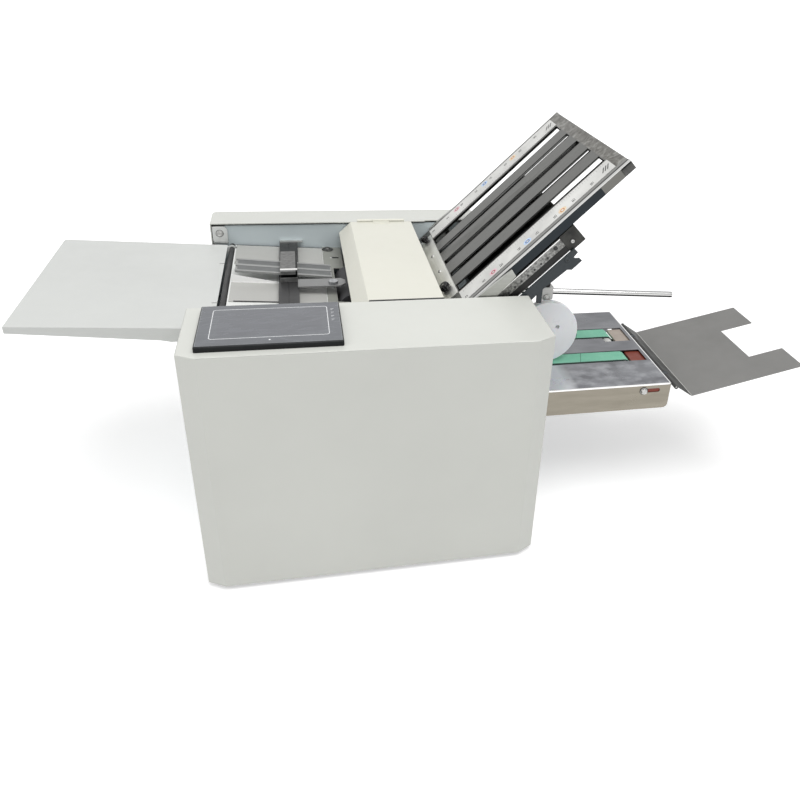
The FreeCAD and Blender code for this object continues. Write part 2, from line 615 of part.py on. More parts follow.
def delivery():
    # Stainless box with two green belts running in slots of its top
    x0, x1 = BOX_X
    y0, y1 = BOX_Y
    z0, z1 = BOX_Z
    t = SHEET
    shell = box(x0, x1, y0, y1, z0, z1)
    across = [e for e in shell.Edges if e.BoundBox.YLength > 100 and e.BoundBox.XMin > x1 - 1]
    shell = shell.makeFillet(9, [e for e in across if e.BoundBox.ZMax < z0 + 1])
    hollow = box(x0 - 1, x1 - t, y0 + t, y1 - t, z0 - 1, z1 - t)
    shell = shell.cut(hollow)
    shell = shell.cut(box(x1 - 3, x1 + 1, y0 + t, y1 - t, z0 - 1, 212))
    shell = shell.cut(box(555, 828, 242.5, 286, z1 - 5, z1 + 1))
    shell = shell.cut(box(555, 828, 342, 384.5, z1 - 5, z1 + 1))
    shell = shell.cut(box(771, 828, 326, 343, z1 - 5, z1 + 1))
    for a, b in ((y0 - 1, y0 + 4), (y1 - 4, y1 + 1)):
        slot = fuse(box(BELT_RIGHT, 812, a, b, BELT_Z - 4.1, BELT_Z + 4.1),
                    prism_y(812, BELT_Z, 4.1, 12, a, b), prism_y(BELT_RIGHT, BELT_Z, 4.1, 12, a, b))
        shell = shell.cut(slot)
    save("delivery_box", shell.cut(round_y(BELT_LEFT, BELT_Z, 5 + RUNNING, y0 - 1, y1 + 1)))
    save("dark_brackets", box(x0, x1 - t, 236, 392, 212, 213.5))

    for a in EARS:
        ear = box(x1, PIN_X + 4, a, a + 10, PIN_Z - 4.5, PIN_Z + 3.2)
        save("dark_brackets", ear.cut(round_y(PIN_X, PIN_Z, 2, a - 1, a + 11)))
    save("fixed_pins", round_y(PIN_X, PIN_Z, 2, TRAY_Y[0] + 1, TRAY_Y[1] - 1))
    save("fixed_pins", round_y(BELT_RIGHT, BELT_Z, AXLE_R, y0 - 0.5, y1 + 0.5))
    for a, b in ((y0 - 5, y0 - 0.5), (y1 + 0.5, y1 + 5)):
        save("fasteners", hex_y(BELT_RIGHT, BELT_Z, 12, a, b))
    idler = round_y(BELT_RIGHT, BELT_Z, BELT_R, 240, 390)
    save("end_roller", idler.cut(round_y(BELT_RIGHT, BELT_Z, AXLE_R + RUNNING, 239, 391)))
    save("drive_roller", fuse(round_y(BELT_LEFT, BELT_Z, 5, y0 - 1.5, y1 + 1.5),
                              round_y(BELT_LEFT, BELT_Z, BELT_R, 240, 390)))
    ends = [(BELT_LEFT, BELT_Z, 0.0), (BELT_RIGHT, BELT_Z, 0.0)]
    for a, b in BELTS:
        save("delivery_belts", belt_loop(ends, BELT_IN, BELT_OUT, a, b))
    save("wear_pad", box(798, x1 - t, 243, 286, 234, 239.5))
    save("wear_pad", box(792, x1 - t, y0 + t, y0 + t + 8, 221, 238))
    save("guide_pad", box(798, x1 - t, 327, 384, 235, 240))
    save("fasteners", *[hex_x(y, 228, 7, x1, x1 + 2) for y in (160, 454)])


def exit_tray():
    # Bent grey sheet with a hand notch, hooked on the delivery's end
    t = SHEET
    fx, fz = TRAY_FOLD
    ex, ez = fx + TRAY_LONG * math.cos(RISE), fz + TRAY_LONG * math.sin(RISE)
    top = [(PIN_X, PIN_Z + 3.5), (fx, fz), (ex, ez), (ex + t * math.sin(RISE), ez - t * math.cos(RISE)),
           (fx, fz - t), (PIN_X, PIN_Z + 2)]
    tray = side_plate(top, *TRAY_Y)
    nx = fx + NOTCH_S * math.cos(RISE)
    tray = tray.cut(box(nx, ex + 5, NOTCH_Y[0], NOTCH_Y[1], 200, 300))
    tray = tray.fuse(prism_y(PIN_X, PIN_Z, 3.8, 12, *TRAY_Y))
    for a in EARS:
        tray = tray.cut(box(PIN_X - 6, PIN_X + 6, a - 0.6, a + 10.6, PIN_Z - 6, PIN_Z + 6))
    tray = tray.cut(round_y(PIN_X, PIN_Z, 2 + RUNNING, TRAY_Y[0] - 1, TRAY_Y[1] + 1)).removeSplitter()
    save("exit_tray", tray)


def power_inlet():
    # Mains inlet and rocker switch low on the back, the rocker on its own pivot pin
    pivot = (DEPTH - 4, 64)
    inlet = fuse(box(60, 88, DEPTH - 22, DEPTH, 50, 78), box(56, 92, DEPTH, DEPTH + 2, 46, 82))
    inlet = inlet.cut(box(63, 85, DEPTH - 16, DEPTH + 3, 56, 72))
    save("power_inlet", inlet)
    save("fixed_pins", *[box(x - 1, x + 1, DEPTH - 16, DEPTH - 3, 62, 66) for x in (68, 74, 80)])
    bezel = fuse(box(100, 120, DEPTH - 20, DEPTH, 51, 77), box(97, 123, DEPTH, DEPTH + 2, 48, 80))
    bezel = bezel.cut(box(103, 117, DEPTH - 12, DEPTH + 3, 53, 75))
    bezel = bezel.cut(box(101, 119, pivot[0] - 1.6, pivot[0] + 1.6, pivot[1] - 1.6, pivot[1] + 1.6))
    save("power_inlet", bezel)
    rocker = end_plate([(DEPTH - 8, 64), (DEPTH - 2, 55.2), (DEPTH + 1, 55.2), (DEPTH - 1, 64),
                        (DEPTH + 4, 72.8), (DEPTH - 2, 72.8)], 103.6, 116.4)
    save("switch_rocker", fuse(rocker, round_x(*pivot, 1.5, 101.5, 118.5)))


os.makedirs("parts", exist_ok=True)
covers()
frames()
touch_unit()
feed_table()
deck()
hold_down()
rollers()
drive()
top_cover()
fold_plates()
plate_brackets()
stacking_rod()
delivery()
exit_tray()
power_inlet()
write_pieces()
print("shift", SHIFT, "nodes", len(os.listdir("parts")))
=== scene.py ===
import math

import bmesh
import bpy
from mathutils import Matrix, Vector


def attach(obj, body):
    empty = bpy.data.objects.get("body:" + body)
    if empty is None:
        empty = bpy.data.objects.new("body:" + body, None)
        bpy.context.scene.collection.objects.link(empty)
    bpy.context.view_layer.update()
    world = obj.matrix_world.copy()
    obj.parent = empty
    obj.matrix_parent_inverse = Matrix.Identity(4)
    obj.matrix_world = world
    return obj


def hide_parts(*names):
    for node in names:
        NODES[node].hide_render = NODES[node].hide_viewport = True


# Looks of the paper folding machine. Sizes are in millimetres in the building frame: x with the
# paper from the front cover's left end, y back from its front face, z up. place() turns them into
# the shared frame in metres.

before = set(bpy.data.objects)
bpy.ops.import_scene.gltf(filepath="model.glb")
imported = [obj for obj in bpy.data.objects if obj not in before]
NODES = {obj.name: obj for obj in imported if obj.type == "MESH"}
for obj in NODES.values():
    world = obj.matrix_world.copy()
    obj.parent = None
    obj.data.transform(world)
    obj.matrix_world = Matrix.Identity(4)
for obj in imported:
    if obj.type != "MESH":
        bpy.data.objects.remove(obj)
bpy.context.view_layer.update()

ORIGIN_X = 422.1745
ORIGIN_Y = 319.0
COVER_TOP = 428.0
BACK_FACE = 634.0
COVER_SCREWS_X = (40, 272, 504)
COVER_SCREWS_Z = (30, 400)
PLATE_X = 417.8
PLATE_Z = 387.2
PLATE_TILT = math.radians(43.93)
UP_PLATE = Vector((math.cos(PLATE_TILT), 0, math.sin(PLATE_TILT)))
OFF_PLATE = Vector((-math.sin(PLATE_TILT), 0, math.cos(PLATE_TILT)))
NEAR_SIDE = 172.3          # near side faces of both fold plates, along y
THROAT_TOP = 373.3         # upper face of the throat plate under its dome screw
HOOK_BOLT = (606.2, 167.5, 488.6)
BELTS = ((246.0, 282.0), (345.0, 381.0))    # near and far edge of each belt, along y
BELT_TOP = 243.7
IDLER_X = 783.0            # end roller's axle
IDLER_Z = 229.9
BOX_CORNER = (837.0, 150.3, 243.3)          # near top corner of the delivery box at the tray


def place(x, y, z):
    return Vector(((x - ORIGIN_X) / 1000, (y - ORIGIN_Y) / 1000, z / 1000))


def on_plate(s, y, n):
    # s runs up the long fold plate, n stands off its face
    x = PLATE_X + s * math.cos(PLATE_TILT) - n * math.sin(PLATE_TILT)
    z = PLATE_Z + s * math.sin(PLATE_TILT) + n * math.cos(PLATE_TILT)
    return place(x, y, z)


# Materials

X_WAY = (1, 0, 0)
Y_WAY = (0, 1, 0)
Z_WAY = (0, 0, 1)
NEARWARD = (0, -1, 0)
ALONG_X = (0.012, 1.0, 1.0)         # noise pulled out into streaks along one axis
ALONG_Y = (1.0, 0.012, 1.0)
ALONG_Z = (1.0, 1.0, 0.012)
# Near-black painted shade for shadowed gaps, seams and undersides
PAINTED_SHADE_BLACK = (0.006, 0.006, 0.006)
EDGE_HIGHLIGHT = (0.6, 0.6, 0.59)        # painted highlight on sheet edges that catch the light
# Brighter painted highlight on edges and steps that catch the light
PAINTED_HIGHLIGHT = (0.8, 0.8, 0.79)
RUBBER = (0.05, 0.05, 0.053)
TURNED_STEEL = (0.5, 0.5, 0.49)
FINE_GRAIN = 900.0                  # noise scale of paint and rubber grain
GLOSS_SPOTS = 38.0                  # noise scale of uneven gloss


def rescaled(tree, value, start, end, low, high):
    # Carries the range start to end over to low to high
    node = tree.nodes.new("ShaderNodeMapRange")
    node.inputs["From Min"].default_value = start
    node.inputs["From Max"].default_value = end
    node.inputs["To Min"].default_value = low
    node.inputs["To Max"].default_value = high
    tree.links.new(value, node.inputs["Value"])
    return node.outputs["Result"]


class Finish:
    """A procedural material whose colour, roughness and relief come from noise in the object's own space."""

    def __init__(self, name, roughness, metallic=0.0, **fixed):
        self.material = bpy.data.materials.new(name)
        self.material.use_nodes = True
        self.tree = self.material.node_tree
        self.nodes = self.tree.nodes
        self.links = self.tree.links
        self.shader = self.nodes["Principled BSDF"]
        self.shader.inputs["Roughness"].default_value = roughness
        self.shader.inputs["Metallic"].default_value = metallic
        for socket, value in fixed.items():
            self.shader.inputs[socket.replace("_", " ")].default_value = value
        self.space = self.nodes.new("ShaderNodeTexCoord")
        self.relief = None

    def noise(self, scale, detail=3.0, stretch=(1, 1, 1), turn=0.0, distortion=0.0, roughness=0.5):
        mapping = self.nodes.new("ShaderNodeMapping")
        mapping.inputs["Rotation"].default_value = (0, turn, 0)
        mapping.inputs["Scale"].default_value = stretch
        texture = self.nodes.new("ShaderNodeTexNoise")
        texture.inputs["Scale"].default_value = scale
        texture.inputs["Detail"].default_value = detail
        texture.inputs["Roughness"].default_value = roughness
        texture.inputs["Distortion"].default_value = distortion
        self.links.new(self.space.outputs["Object"], mapping.inputs["Vector"])
        self.links.new(mapping.outputs["Vector"], texture.inputs["Vector"])
        return texture.outputs["Fac"]

    def wave(self, scale, direction):
        texture = self.nodes.new("ShaderNodeTexWave")
        texture.bands_direction = direction
        texture.inputs["Scale"].default_value = scale
        texture.inputs["Distortion"].default_value = 0.0
        self.links.new(self.space.outputs["Object"], texture.inputs["Vector"])
        return texture.outputs["Fac"]

    def ramp(self, value, stops):
        node = self.nodes.new("ShaderNodeValToRGB")
        while len(node.color_ramp.elements) < len(stops):
            node.color_ramp.elements.new(0.5)
        for element, (position, color) in zip(node.color_ramp.elements, stops):
            element.position = position
            element.color = (*color, 1.0)
        self.links.new(value, node.inputs["Fac"])
        return node.outputs["Color"]

    def mix(self, value, first, second, blend="MIX"):
        node = self.nodes.new("ShaderNodeMix")
        node.data_type = "RGBA"
        node.blend_type = blend
        if isinstance(value, float):
            node.inputs["Factor"].default_value = value
        else:
            self.links.new(value, node.inputs["Factor"])
        for socket, source in ((node.inputs[6], first), (node.inputs[7], second)):
            if isinstance(source, tuple):
                socket.default_value = (*source, 1.0)
            else:
                self.links.new(source, socket)
        return node.outputs[2]

    def spread(self, value, low, high, start=0.3, end=0.7):
        return rescaled(self.tree, value, start, end, low, high)

    def distance(self, way):
        # How far a point of the object lies along "way", in metres
        node = self.nodes.new("ShaderNodeVectorMath")
        node.operation = "DOT_PRODUCT"
        node.inputs[1].default_value = way
        self.links.new(self.space.outputs["Object"], node.inputs[0])
        return node.outputs["Value"]

    def band(self, start, way, low, high):
        # 1 between two planes across "way" that lie low and high millimetres beyond "start", else 0
        within = self.nodes.new("ShaderNodeMath")
        within.operation = "COMPARE"
        within.inputs[1].default_value = start.dot(Vector(way)) + (low + high) / 2000
        within.inputs[2].default_value = (high - low) / 2000
        self.links.new(self.distance(way), within.inputs[0])
        return within.outputs[0]

    def both(self, first, second):
        # Where two masks meet
        node = self.nodes.new("ShaderNodeMath")
        node.operation = "MULTIPLY"
        self.links.new(first, node.inputs[0])
        self.links.new(second, node.inputs[1])
        return node.outputs[0]

    def color(self, source):
        self.links.new(source, self.shader.inputs["Base Color"])

    def rough(self, source):
        self.links.new(source, self.shader.inputs["Roughness"])

    def metallic(self, source):
        self.links.new(source, self.shader.inputs["Metallic"])

    def bump(self, height, strength, depth):
        # Adds relief "depth" metres deep over the relief already there
        node = self.nodes.new("ShaderNodeBump")
        node.inputs["Strength"].default_value = strength
        node.inputs["Distance"].default_value = depth
        self.links.new(height, node.inputs["Height"])
        if self.relief:
            self.links.new(self.relief, node.inputs["Normal"])
        self.relief = node.outputs["Normal"]
        self.links.new(self.relief, self.shader.inputs["Normal"])


def shade(color, factor):
    return tuple(min(1.0, c * factor) for c in color)


def cast(name, color):
    # Rough cast alloy
    finish = Finish(name, 0.45, metallic=0.85)
    grain = finish.noise(130.0, detail=6.0, roughness=0.7)
    finish.tone = finish.ramp(grain, [(0.3, shade(color, 0.62)), (0.7, shade(color, 1.2))])
    finish.color(finish.tone)
    finish.rough(finish.spread(finish.noise(90.0), 0.35, 0.6))
    finish.bump(finish.noise(700.0, detail=5.0), 0.5, 0.0003)
    return finish


def sprayed(name, color, roughness=0.38, peel=0.25):
    # Satin paint: faint cloudy tone, orange peel, slightly uneven gloss
    finish = Finish(name, roughness, Coat_Weight=0.15, Coat_Roughness=0.25)
    cloud = finish.noise(5.0, detail=4.0)
    finish.tone = finish.ramp(cloud, [(0.3, shade(color, 0.97)), (0.7, shade(color, 1.018))])
    finish.color(finish.tone)
    gloss = finish.noise(GLOSS_SPOTS, detail=5.0)
    finish.rough(finish.spread(gloss, roughness - 0.06, roughness + 0.08))
    finish.bump(finish.noise(FINE_GRAIN, detail=2.0), peel, 0.0001)
    finish.bump(finish.noise(7.0, detail=1.0), 0.12, 0.0008)
    return finish


def painted(*values, **options):
    return sprayed(*values, **options).material


def hood_paint():
    # Cream paint, with a painted shadow: a black band where the hood's flat top ends at the front cover,
    # drawn for the shaded gap there
    finish = sprayed("hood_paint", (0.685, 0.68, 0.602))
    corner = place(276, 166, COVER_TOP)
    near_edge = finish.both(finish.band(corner, Y_WAY, -1, 3), finish.band(corner, Z_WAY, -4, 1))
    painted_gap_shadow = finish.both(near_edge, finish.band(corner, X_WAY, 1, 126))
    finish.color(finish.mix(painted_gap_shadow, finish.tone, PAINTED_SHADE_BLACK))
    return finish.material


def deck_paint():
    # White deck with a painted shadow: a dark line along its rear edge for the shaded gap at the wall
    finish = sprayed("deck_paint", (0.74, 0.75, 0.73), 0.45)
    painted_gap_shade = finish.band(place(0, 556.5, 0), Y_WAY, 0, 5)
    finish.color(finish.mix(painted_gap_shade, finish.tone, (0.05, 0.052, 0.055)))
    return finish.material


def guide_paint():
    # Grey guides; the front one's lip under the rail is painted near-white as painted light against the
    # rail's shadow, and a painted shadow line runs along its near edge
    finish = sprayed("guide_paint", (0.425, 0.425, 0.405), 0.4)
    # painted shadow line along the front guide's near edge
    near = place(58, 282, 0)
    painted_gap_shade = finish.both(finish.band(near, Y_WAY, -0.5, 3), finish.band(near, X_WAY, 0, 74))
    tone = finish.mix(painted_gap_shade, finish.tone, PAINTED_SHADE_BLACK)
    # painted light: the lip wall under the rail is drawn near-white
    painted_light_lip = finish.band(place(0, 364.8, 0), Y_WAY, -0.3, 2)
    finish.color(finish.mix(painted_light_lip, tone, (0.95, 0.95, 0.94)))
    return finish.material


def rail_paint():
    # Grey hold-down rail; its arm with the gap screw is darker
    finish = sprayed("rail_paint", (0.26, 0.265, 0.26), 0.35)
    arm = finish.band(place(0, 335, 0), Y_WAY, -18, 18)
    finish.color(finish.mix(arm, finish.tone, (0.17, 0.172, 0.17)))
    return finish.material


def clamp_cast():
    # Cast clamp with a painted highlight on the step at its near end, and painted shadow lines below and
    # beside it
    finish = cast("clamp_cast", (0.20, 0.20, 0.197))
    step = place(166, 357, 401)
    top = finish.band(step, Z_WAY, 0.5, 12)
    tone = finish.mix(finish.both(top, finish.band(step, X_WAY, -3, 1)), finish.tone, PAINTED_SHADE_BLACK)
    tone = finish.mix(finish.both(top, finish.band(step, Y_WAY, -1, 6)), tone, PAINTED_HIGHLIGHT)
    # painted shade under the step
    painted_shade_below = finish.both(finish.band(step, Z_WAY, -5, 0.5), finish.band(step, Y_WAY, -10, 1))
    finish.color(finish.mix(painted_shade_below, tone, PAINTED_SHADE_BLACK))
    return finish.material


def moulded(name, color, roughness=0.5, depth=0.35, shine=0.45):
    # Moulded plastic with a fine spark-eroded grain and handling shine
    finish = Finish(name, roughness, Specular_IOR_Level=shine)
    broad = finish.noise(22.0, detail=3.0)
    finish.color(finish.ramp(broad, [(0.3, shade(color, 0.88)), (0.7, shade(color, 1.14))]))
    finish.rough(finish.spread(finish.noise(60.0, detail=4.0), roughness - 0.12, roughness + 0.1))
    finish.bump(finish.noise(1400.0, detail=2.0), depth, 0.00012)
    return finish.material


def metal(name, color, roughness, stretch, turn=0.0, contrast=0.16, depth=0.3, smudge=0.12, grain=420.0):
    # Rolled or brushed metal: streaks along the grain and cloudy handling marks
    finish = Finish(name, roughness, metallic=1.0)
    streaks = finish.noise(grain, detail=4.0, stretch=stretch, turn=turn, roughness=0.6)
    cloud = finish.noise(14.0, detail=5.0, distortion=0.6)
    fine = finish.ramp(streaks, [(0.25, shade(color, 1 - contrast)), (0.75, shade(color, 1 + contrast))])
    broad = finish.ramp(cloud, [(0.3, (1 - smudge,) * 3), (0.7, (1.0, 1.0, 1.0))])
    finish.tone = finish.mix(1.0, fine, broad, "MULTIPLY")
    finish.color(finish.tone)
    finish.rough(finish.spread(cloud, roughness - 0.08, roughness + 0.12))
    finish.bump(streaks, depth, 0.00006)
    return finish


def plate_metal(name, color, roughness, **options):
    # Metal of the tilted fold plates, with its streaks running up them
    return metal(name, color, roughness, ALONG_X, turn=PLATE_TILT, **options)


def brushed(*values, **options):
    return metal(*values, **options).material


def slat_steel():
    # Dull cold-rolled slats: stained band at the plate's top end; beside the near rail a painted highlight
    # strip, a painted shadow line and a lighter grey strip
    finish = plate_metal("plate_steel", (0.185, 0.186, 0.178), 0.36, contrast=0.07, depth=0.1, grain=200.0,
                         smudge=0.2)
    start = place(PLATE_X, NEAR_SIDE, PLATE_Z)
    patches = finish.noise(55.0, detail=6.0, distortion=1.4, roughness=0.65)
    stains = finish.ramp(patches, [(0.32, (0.105, 0.1, 0.094)), (0.5, (0.2, 0.195, 0.18)),
                                   (0.68, (0.38, 0.38, 0.36))])
    tone = finish.mix(finish.band(start, UP_PLATE, 362, 400), finish.tone, stains)
    upper = finish.band(start, OFF_PLATE, -1.6, 1)
    # Near-rail margin: painted highlight, painted shadow line, lighter grey strip
    for low, high, color in ((-1, 6.2, EDGE_HIGHLIGHT), (7.0, 10.2, (0.045, 0.045, 0.045)),
                             (10.2, 18.0, (0.27, 0.27, 0.26))):
        margin = finish.both(upper, finish.band(start, Y_WAY, low, high))
        tone = finish.mix(margin, tone, color)
    finish.color(tone)
    return finish.material


def side_rail():
    # Side rails: painted highlight along the upper edge; the near one's outer face mirrors the dark bracket
    # below it
    finish = plate_metal("side_rail", (0.30, 0.30, 0.29), 0.32, contrast=0.08, depth=0.1, grain=200.0)
    start = place(PLATE_X, NEAR_SIDE, PLATE_Z)
    below = finish.band(start, OFF_PLATE, -30, -1.2)
    outer = finish.both(below, finish.band(start, Y_WAY, -1, 0.3))
    patchy = finish.ramp(finish.noise(90.0, detail=5.0),
                         [(0.35, (0.02, 0.021, 0.022)), (0.65, (0.09, 0.09, 0.088))])
    tone = finish.tone
    for low, high, color in ((-5, 322, (0.028, 0.033, 0.037)), (322, 366, (0.15, 0.148, 0.138)),
                             (366, 390, patchy)):
        part = finish.both(outer, finish.band(start, UP_PLATE, low, high))
        tone = finish.mix(part, tone, color)
    edge = finish.band(start, OFF_PLATE, -1.2, 1)
    finish.color(finish.mix(edge, tone, EDGE_HIGHLIGHT))
    return finish.material


def dark_bracket():
    # Slate paint on the hooks; the short plate's end channel is bare and darker, and its side plate below the
    # ruler is painted near-black as painted shade
    color = (0.030, 0.037, 0.042)
    finish = Finish("dark_steel", 0.4, Specular_IOR_Level=0.35)
    tone = finish.ramp(finish.noise(9.0, detail=4.0), [(0.3, shade(color, 0.85)), (0.7, shade(color, 1.15))])
    start = place(PLATE_X, NEAR_SIDE, PLATE_Z)
    inside = finish.band(start, Y_WAY, -0.4, 385)
    channel = finish.both(finish.band(start, UP_PLATE, 219.6, 253), finish.band(start, OFF_PLATE, -56, -18))
    bare = finish.ramp(finish.noise(60.0, detail=5.0),
                       [(0.35, (0.004, 0.004, 0.003)), (0.75, (0.05, 0.05, 0.045))])
    tone = finish.mix(finish.both(inside, channel), tone, bare)
    # painted shade: the side plate below the ruler is drawn near-black
    side = finish.both(finish.band(start, UP_PLATE, 45, 219.6), finish.band(start, OFF_PLATE, -49.3, -19))
    finish.color(finish.mix(finish.both(inside, side), tone, PAINTED_SHADE_BLACK))
    finish.rough(finish.spread(finish.noise(GLOSS_SPOTS, detail=5.0), 0.34, 0.48))
    finish.bump(finish.noise(FINE_GRAIN, detail=2.0), 0.35, 0.0001)
    return finish.material


def ruler_face():
    # Scored steel ruler with a painted highlight along its upper edge
    finish = plate_metal("ruler_steel", (0.2, 0.2, 0.195), 0.34, contrast=0.3)
    start = place(PLATE_X, NEAR_SIDE, PLATE_Z)
    flecks = finish.ramp(finish.noise(260.0, detail=4.0),
                         [(0.4, (0.05, 0.05, 0.047)), (0.6, (0.36, 0.36, 0.345))])
    tone = finish.mix(0.45, finish.tone, flecks)
    finish.color(finish.mix(finish.band(start, OFF_PLATE, -22.6, -20), tone, PAINTED_HIGHLIGHT))
    return finish.material


def round_rod():
    # Polished rod: bright, with painted reflections: grey lines along it and a dark underside standing for
    # what lies below
    finish = metal("rod_chrome", (0.7, 0.7, 0.69), 0.2, ALONG_X, contrast=0.06)
    middle = place(0, 0, 380)
    tone = finish.tone
    # painted reflections: dark underside and grey lines at given heights
    for low, high, level in ((-5.6, -1.7, 0.012), (-1.7, -0.1, 0.15), (1.9, 3.1, 0.33), (4.9, 5.6, 0.3)):
        tone = finish.mix(finish.band(middle, Z_WAY, low, high), tone, (level, level, level))
    finish.color(tone)
    return finish.material


def folded_box():
    # Delivery box: mottled steel on top with paler spots over its near half, a warmer wall; a painted
    # reflection brightens the near strip at its machine end, and painted highlights run along the bends
    finish = metal("box_steel", (0.50, 0.50, 0.50), 0.3, ALONG_X, contrast=0.06, smudge=0.42)
    corner = place(*BOX_CORNER)
    cloud = finish.noise(30.0, detail=6.0, stretch=(0.45, 1, 1), distortion=0.5)
    plain = finish.ramp(cloud, [(0.3, (0.16, 0.163, 0.175)), (0.7, (0.235, 0.24, 0.255))])
    spots = finish.spread(finish.noise(50.0, detail=5.0, stretch=(0.7, 1, 1)), 0.0, 0.75, 0.4, 0.82)
    near_half = finish.spread(finish.distance(Y_WAY), 1.0, 0.1, place(0, 225, 0).y, place(0, 250, 0).y)
    mottled = finish.mix(finish.both(spots, near_half), plain, (0.5, 0.51, 0.535))
    # painted reflection: bright strip at the machine end of the top, fading out along x
    painted_reflection_fade = finish.spread(finish.distance(X_WAY), 1.0, 0.0, place(634, 0, 0).x, place(656, 0, 0).x)
    painted_reflection_strip = finish.both(painted_reflection_fade, finish.band(corner, Y_WAY, -1, 91))
    tone = finish.mix(painted_reflection_strip, mottled, (0.66, 0.67, 0.69))
    wall = finish.ramp(finish.noise(30.0, detail=5.0, stretch=(0.3, 1, 2)),
                       [(0.3, (0.24, 0.22, 0.18)), (0.7, (0.3, 0.276, 0.23))])
    tone = finish.mix(finish.band(corner, Y_WAY, -1, 1), tone, wall)
    # painted highlights along the near and end bends
    near_bend_highlight = finish.both(finish.band(corner, Z_WAY, -2.6, 1), finish.band(corner, Y_WAY, -1, 2.2))
    tone = finish.mix(near_bend_highlight, tone, (0.88, 0.88, 0.87))
    end_bend_highlight = finish.both(finish.band(corner, Z_WAY, -2.2, 1), finish.band(corner, X_WAY, -2.2, 1))
    finish.color(finish.mix(end_bend_highlight, tone, (0.85, 0.85, 0.84)))
    return finish.material


def bent_tray():
    # Grey powder coat; the short slope at the machine is painted dark as painted shade, and a painted
    # highlight runs along the bend
    color = (0.196, 0.194, 0.186)
    finish = Finish("tray_grey", 0.5)
    even = finish.ramp(finish.noise(9.0, detail=5.0), [(0.3, shade(color, 0.94)), (0.7, shade(color, 1.05))])
    painted_shade_slope = finish.ramp(finish.noise(45.0, detail=5.0),
                        [(0.3, (0.01, 0.01, 0.008)), (0.7, (0.05, 0.052, 0.05))])
    bend = place(877.5, 0, 0)
    tone = finish.mix(finish.band(bend, X_WAY, -41, 0), even, painted_shade_slope)
    # painted highlight along the bend
    finish.color(finish.mix(finish.band(bend, X_WAY, -0.9, 0.7), tone, (0.55, 0.55, 0.52)))
    finish.rough(finish.spread(finish.noise(GLOSS_SPOTS), 0.44, 0.58))
    finish.bump(finish.noise(FINE_GRAIN, detail=2.0), 0.4, 0.0001)
    return finish.material


def rubbery(name, color):
    # Matt black rubber
    finish = Finish(name, 0.75, Specular_IOR_Level=0.3)
    finish.color(finish.ramp(finish.noise(30.0, detail=4.0),
                             [(0.3, shade(color, 0.8)), (0.7, shade(color, 1.25))]))
    finish.rough(finish.spread(finish.noise(90.0), 0.65, 0.85))
    finish.bump(finish.noise(1100.0, detail=3.0), 0.4, 0.00015)
    return finish.material


def rollers_look(name, low, high):
    # Ground rubber between two places along the shaft, bright turned steel beyond them
    finish = Finish(name, 0.6)
    covered = finish.band(place(0, 0, 0), Y_WAY, low, high)
    turned = finish.ramp(finish.noise(500.0, stretch=(0.02, 1, 0.02)),
                         [(0.3, shade(TURNED_STEEL, 0.85)), (0.7, shade(TURNED_STEEL, 1.1))])
    soft = finish.ramp(finish.noise(60.0), [(0.3, shade(RUBBER, 0.8)), (0.7, shade(RUBBER, 1.2))])
    finish.color(finish.mix(covered, turned, soft))
    finish.metallic(finish.spread(covered, 1.0, 0.0, 0.0, 1.0))
    finish.rough(finish.spread(covered, 0.28, 0.62, 0.0, 1.0))
    finish.bump(finish.noise(FINE_GRAIN), 0.3, 0.0001)
    return finish.material


def woven_belt():
    # Green conveyor belt: fine weave under a soft coat, with a painted shadow line along the near edge of
    # each belt
    finish = Finish("belt_green", 0.55, Sheen_Weight=0.15, Specular_IOR_Level=0.35)
    tone = finish.ramp(finish.noise(24.0, detail=5.0),
                       [(0.3, (0.17, 0.52, 0.355)), (0.7, (0.25, 0.63, 0.45))])
    for belt in BELTS:
        painted_shadow_edge = finish.band(place(0, belt[0], 0), Y_WAY, -0.5, 2.4)
        tone = finish.mix(painted_shadow_edge, tone, (0.012, 0.04, 0.028))
    finish.color(tone)
    finish.rough(finish.spread(finish.noise(120.0), 0.46, 0.66))
    for direction in ("X", "Y"):
        finish.bump(finish.wave(700.0, direction), 0.25, 0.00012)
    return finish.material


def wheel_plastic():
    # White moulded disc, slightly bluish, with a fine uneven surface
    finish = Finish("wheel_white", 0.32, Subsurface_Weight=0.12, Subsurface_Scale=0.004, Coat_Weight=0.2)
    finish.color(finish.ramp(finish.noise(12.0, detail=3.0),
                             [(0.3, (0.90, 0.93, 0.96)), (0.7, (0.94, 0.96, 0.98))]))
    finish.rough(finish.spread(finish.noise(50.0), 0.26, 0.42))
    finish.bump(finish.noise(700.0, detail=2.0), 0.12, 0.0001)
    return finish.material


def glass_film(name, color, roughness):
    # Smooth display film with wiped streaks and finger smudges
    finish = Finish(name, roughness, Specular_IOR_Level=0.5)
    smear = finish.noise(26.0, detail=6.0, stretch=(1.0, 2.6, 1.0), distortion=1.2)
    finish.color(finish.ramp(smear, [(0.3, shade(color, 0.9)), (0.7, shade(color, 1.14))]))
    finish.rough(finish.spread(smear, roughness - 0.05, roughness + 0.14))
    finish.bump(finish.noise(9.0, detail=1.0), 0.05, 0.0004)
    return finish.material


def printed(name, color):
    # Printing ink
    finish = Finish(name, 0.55)
    finish.color(finish.ramp(finish.noise(400.0), [(0.3, shade(color, 0.85)), (0.7, shade(color, 1.15))]))
    return finish.material


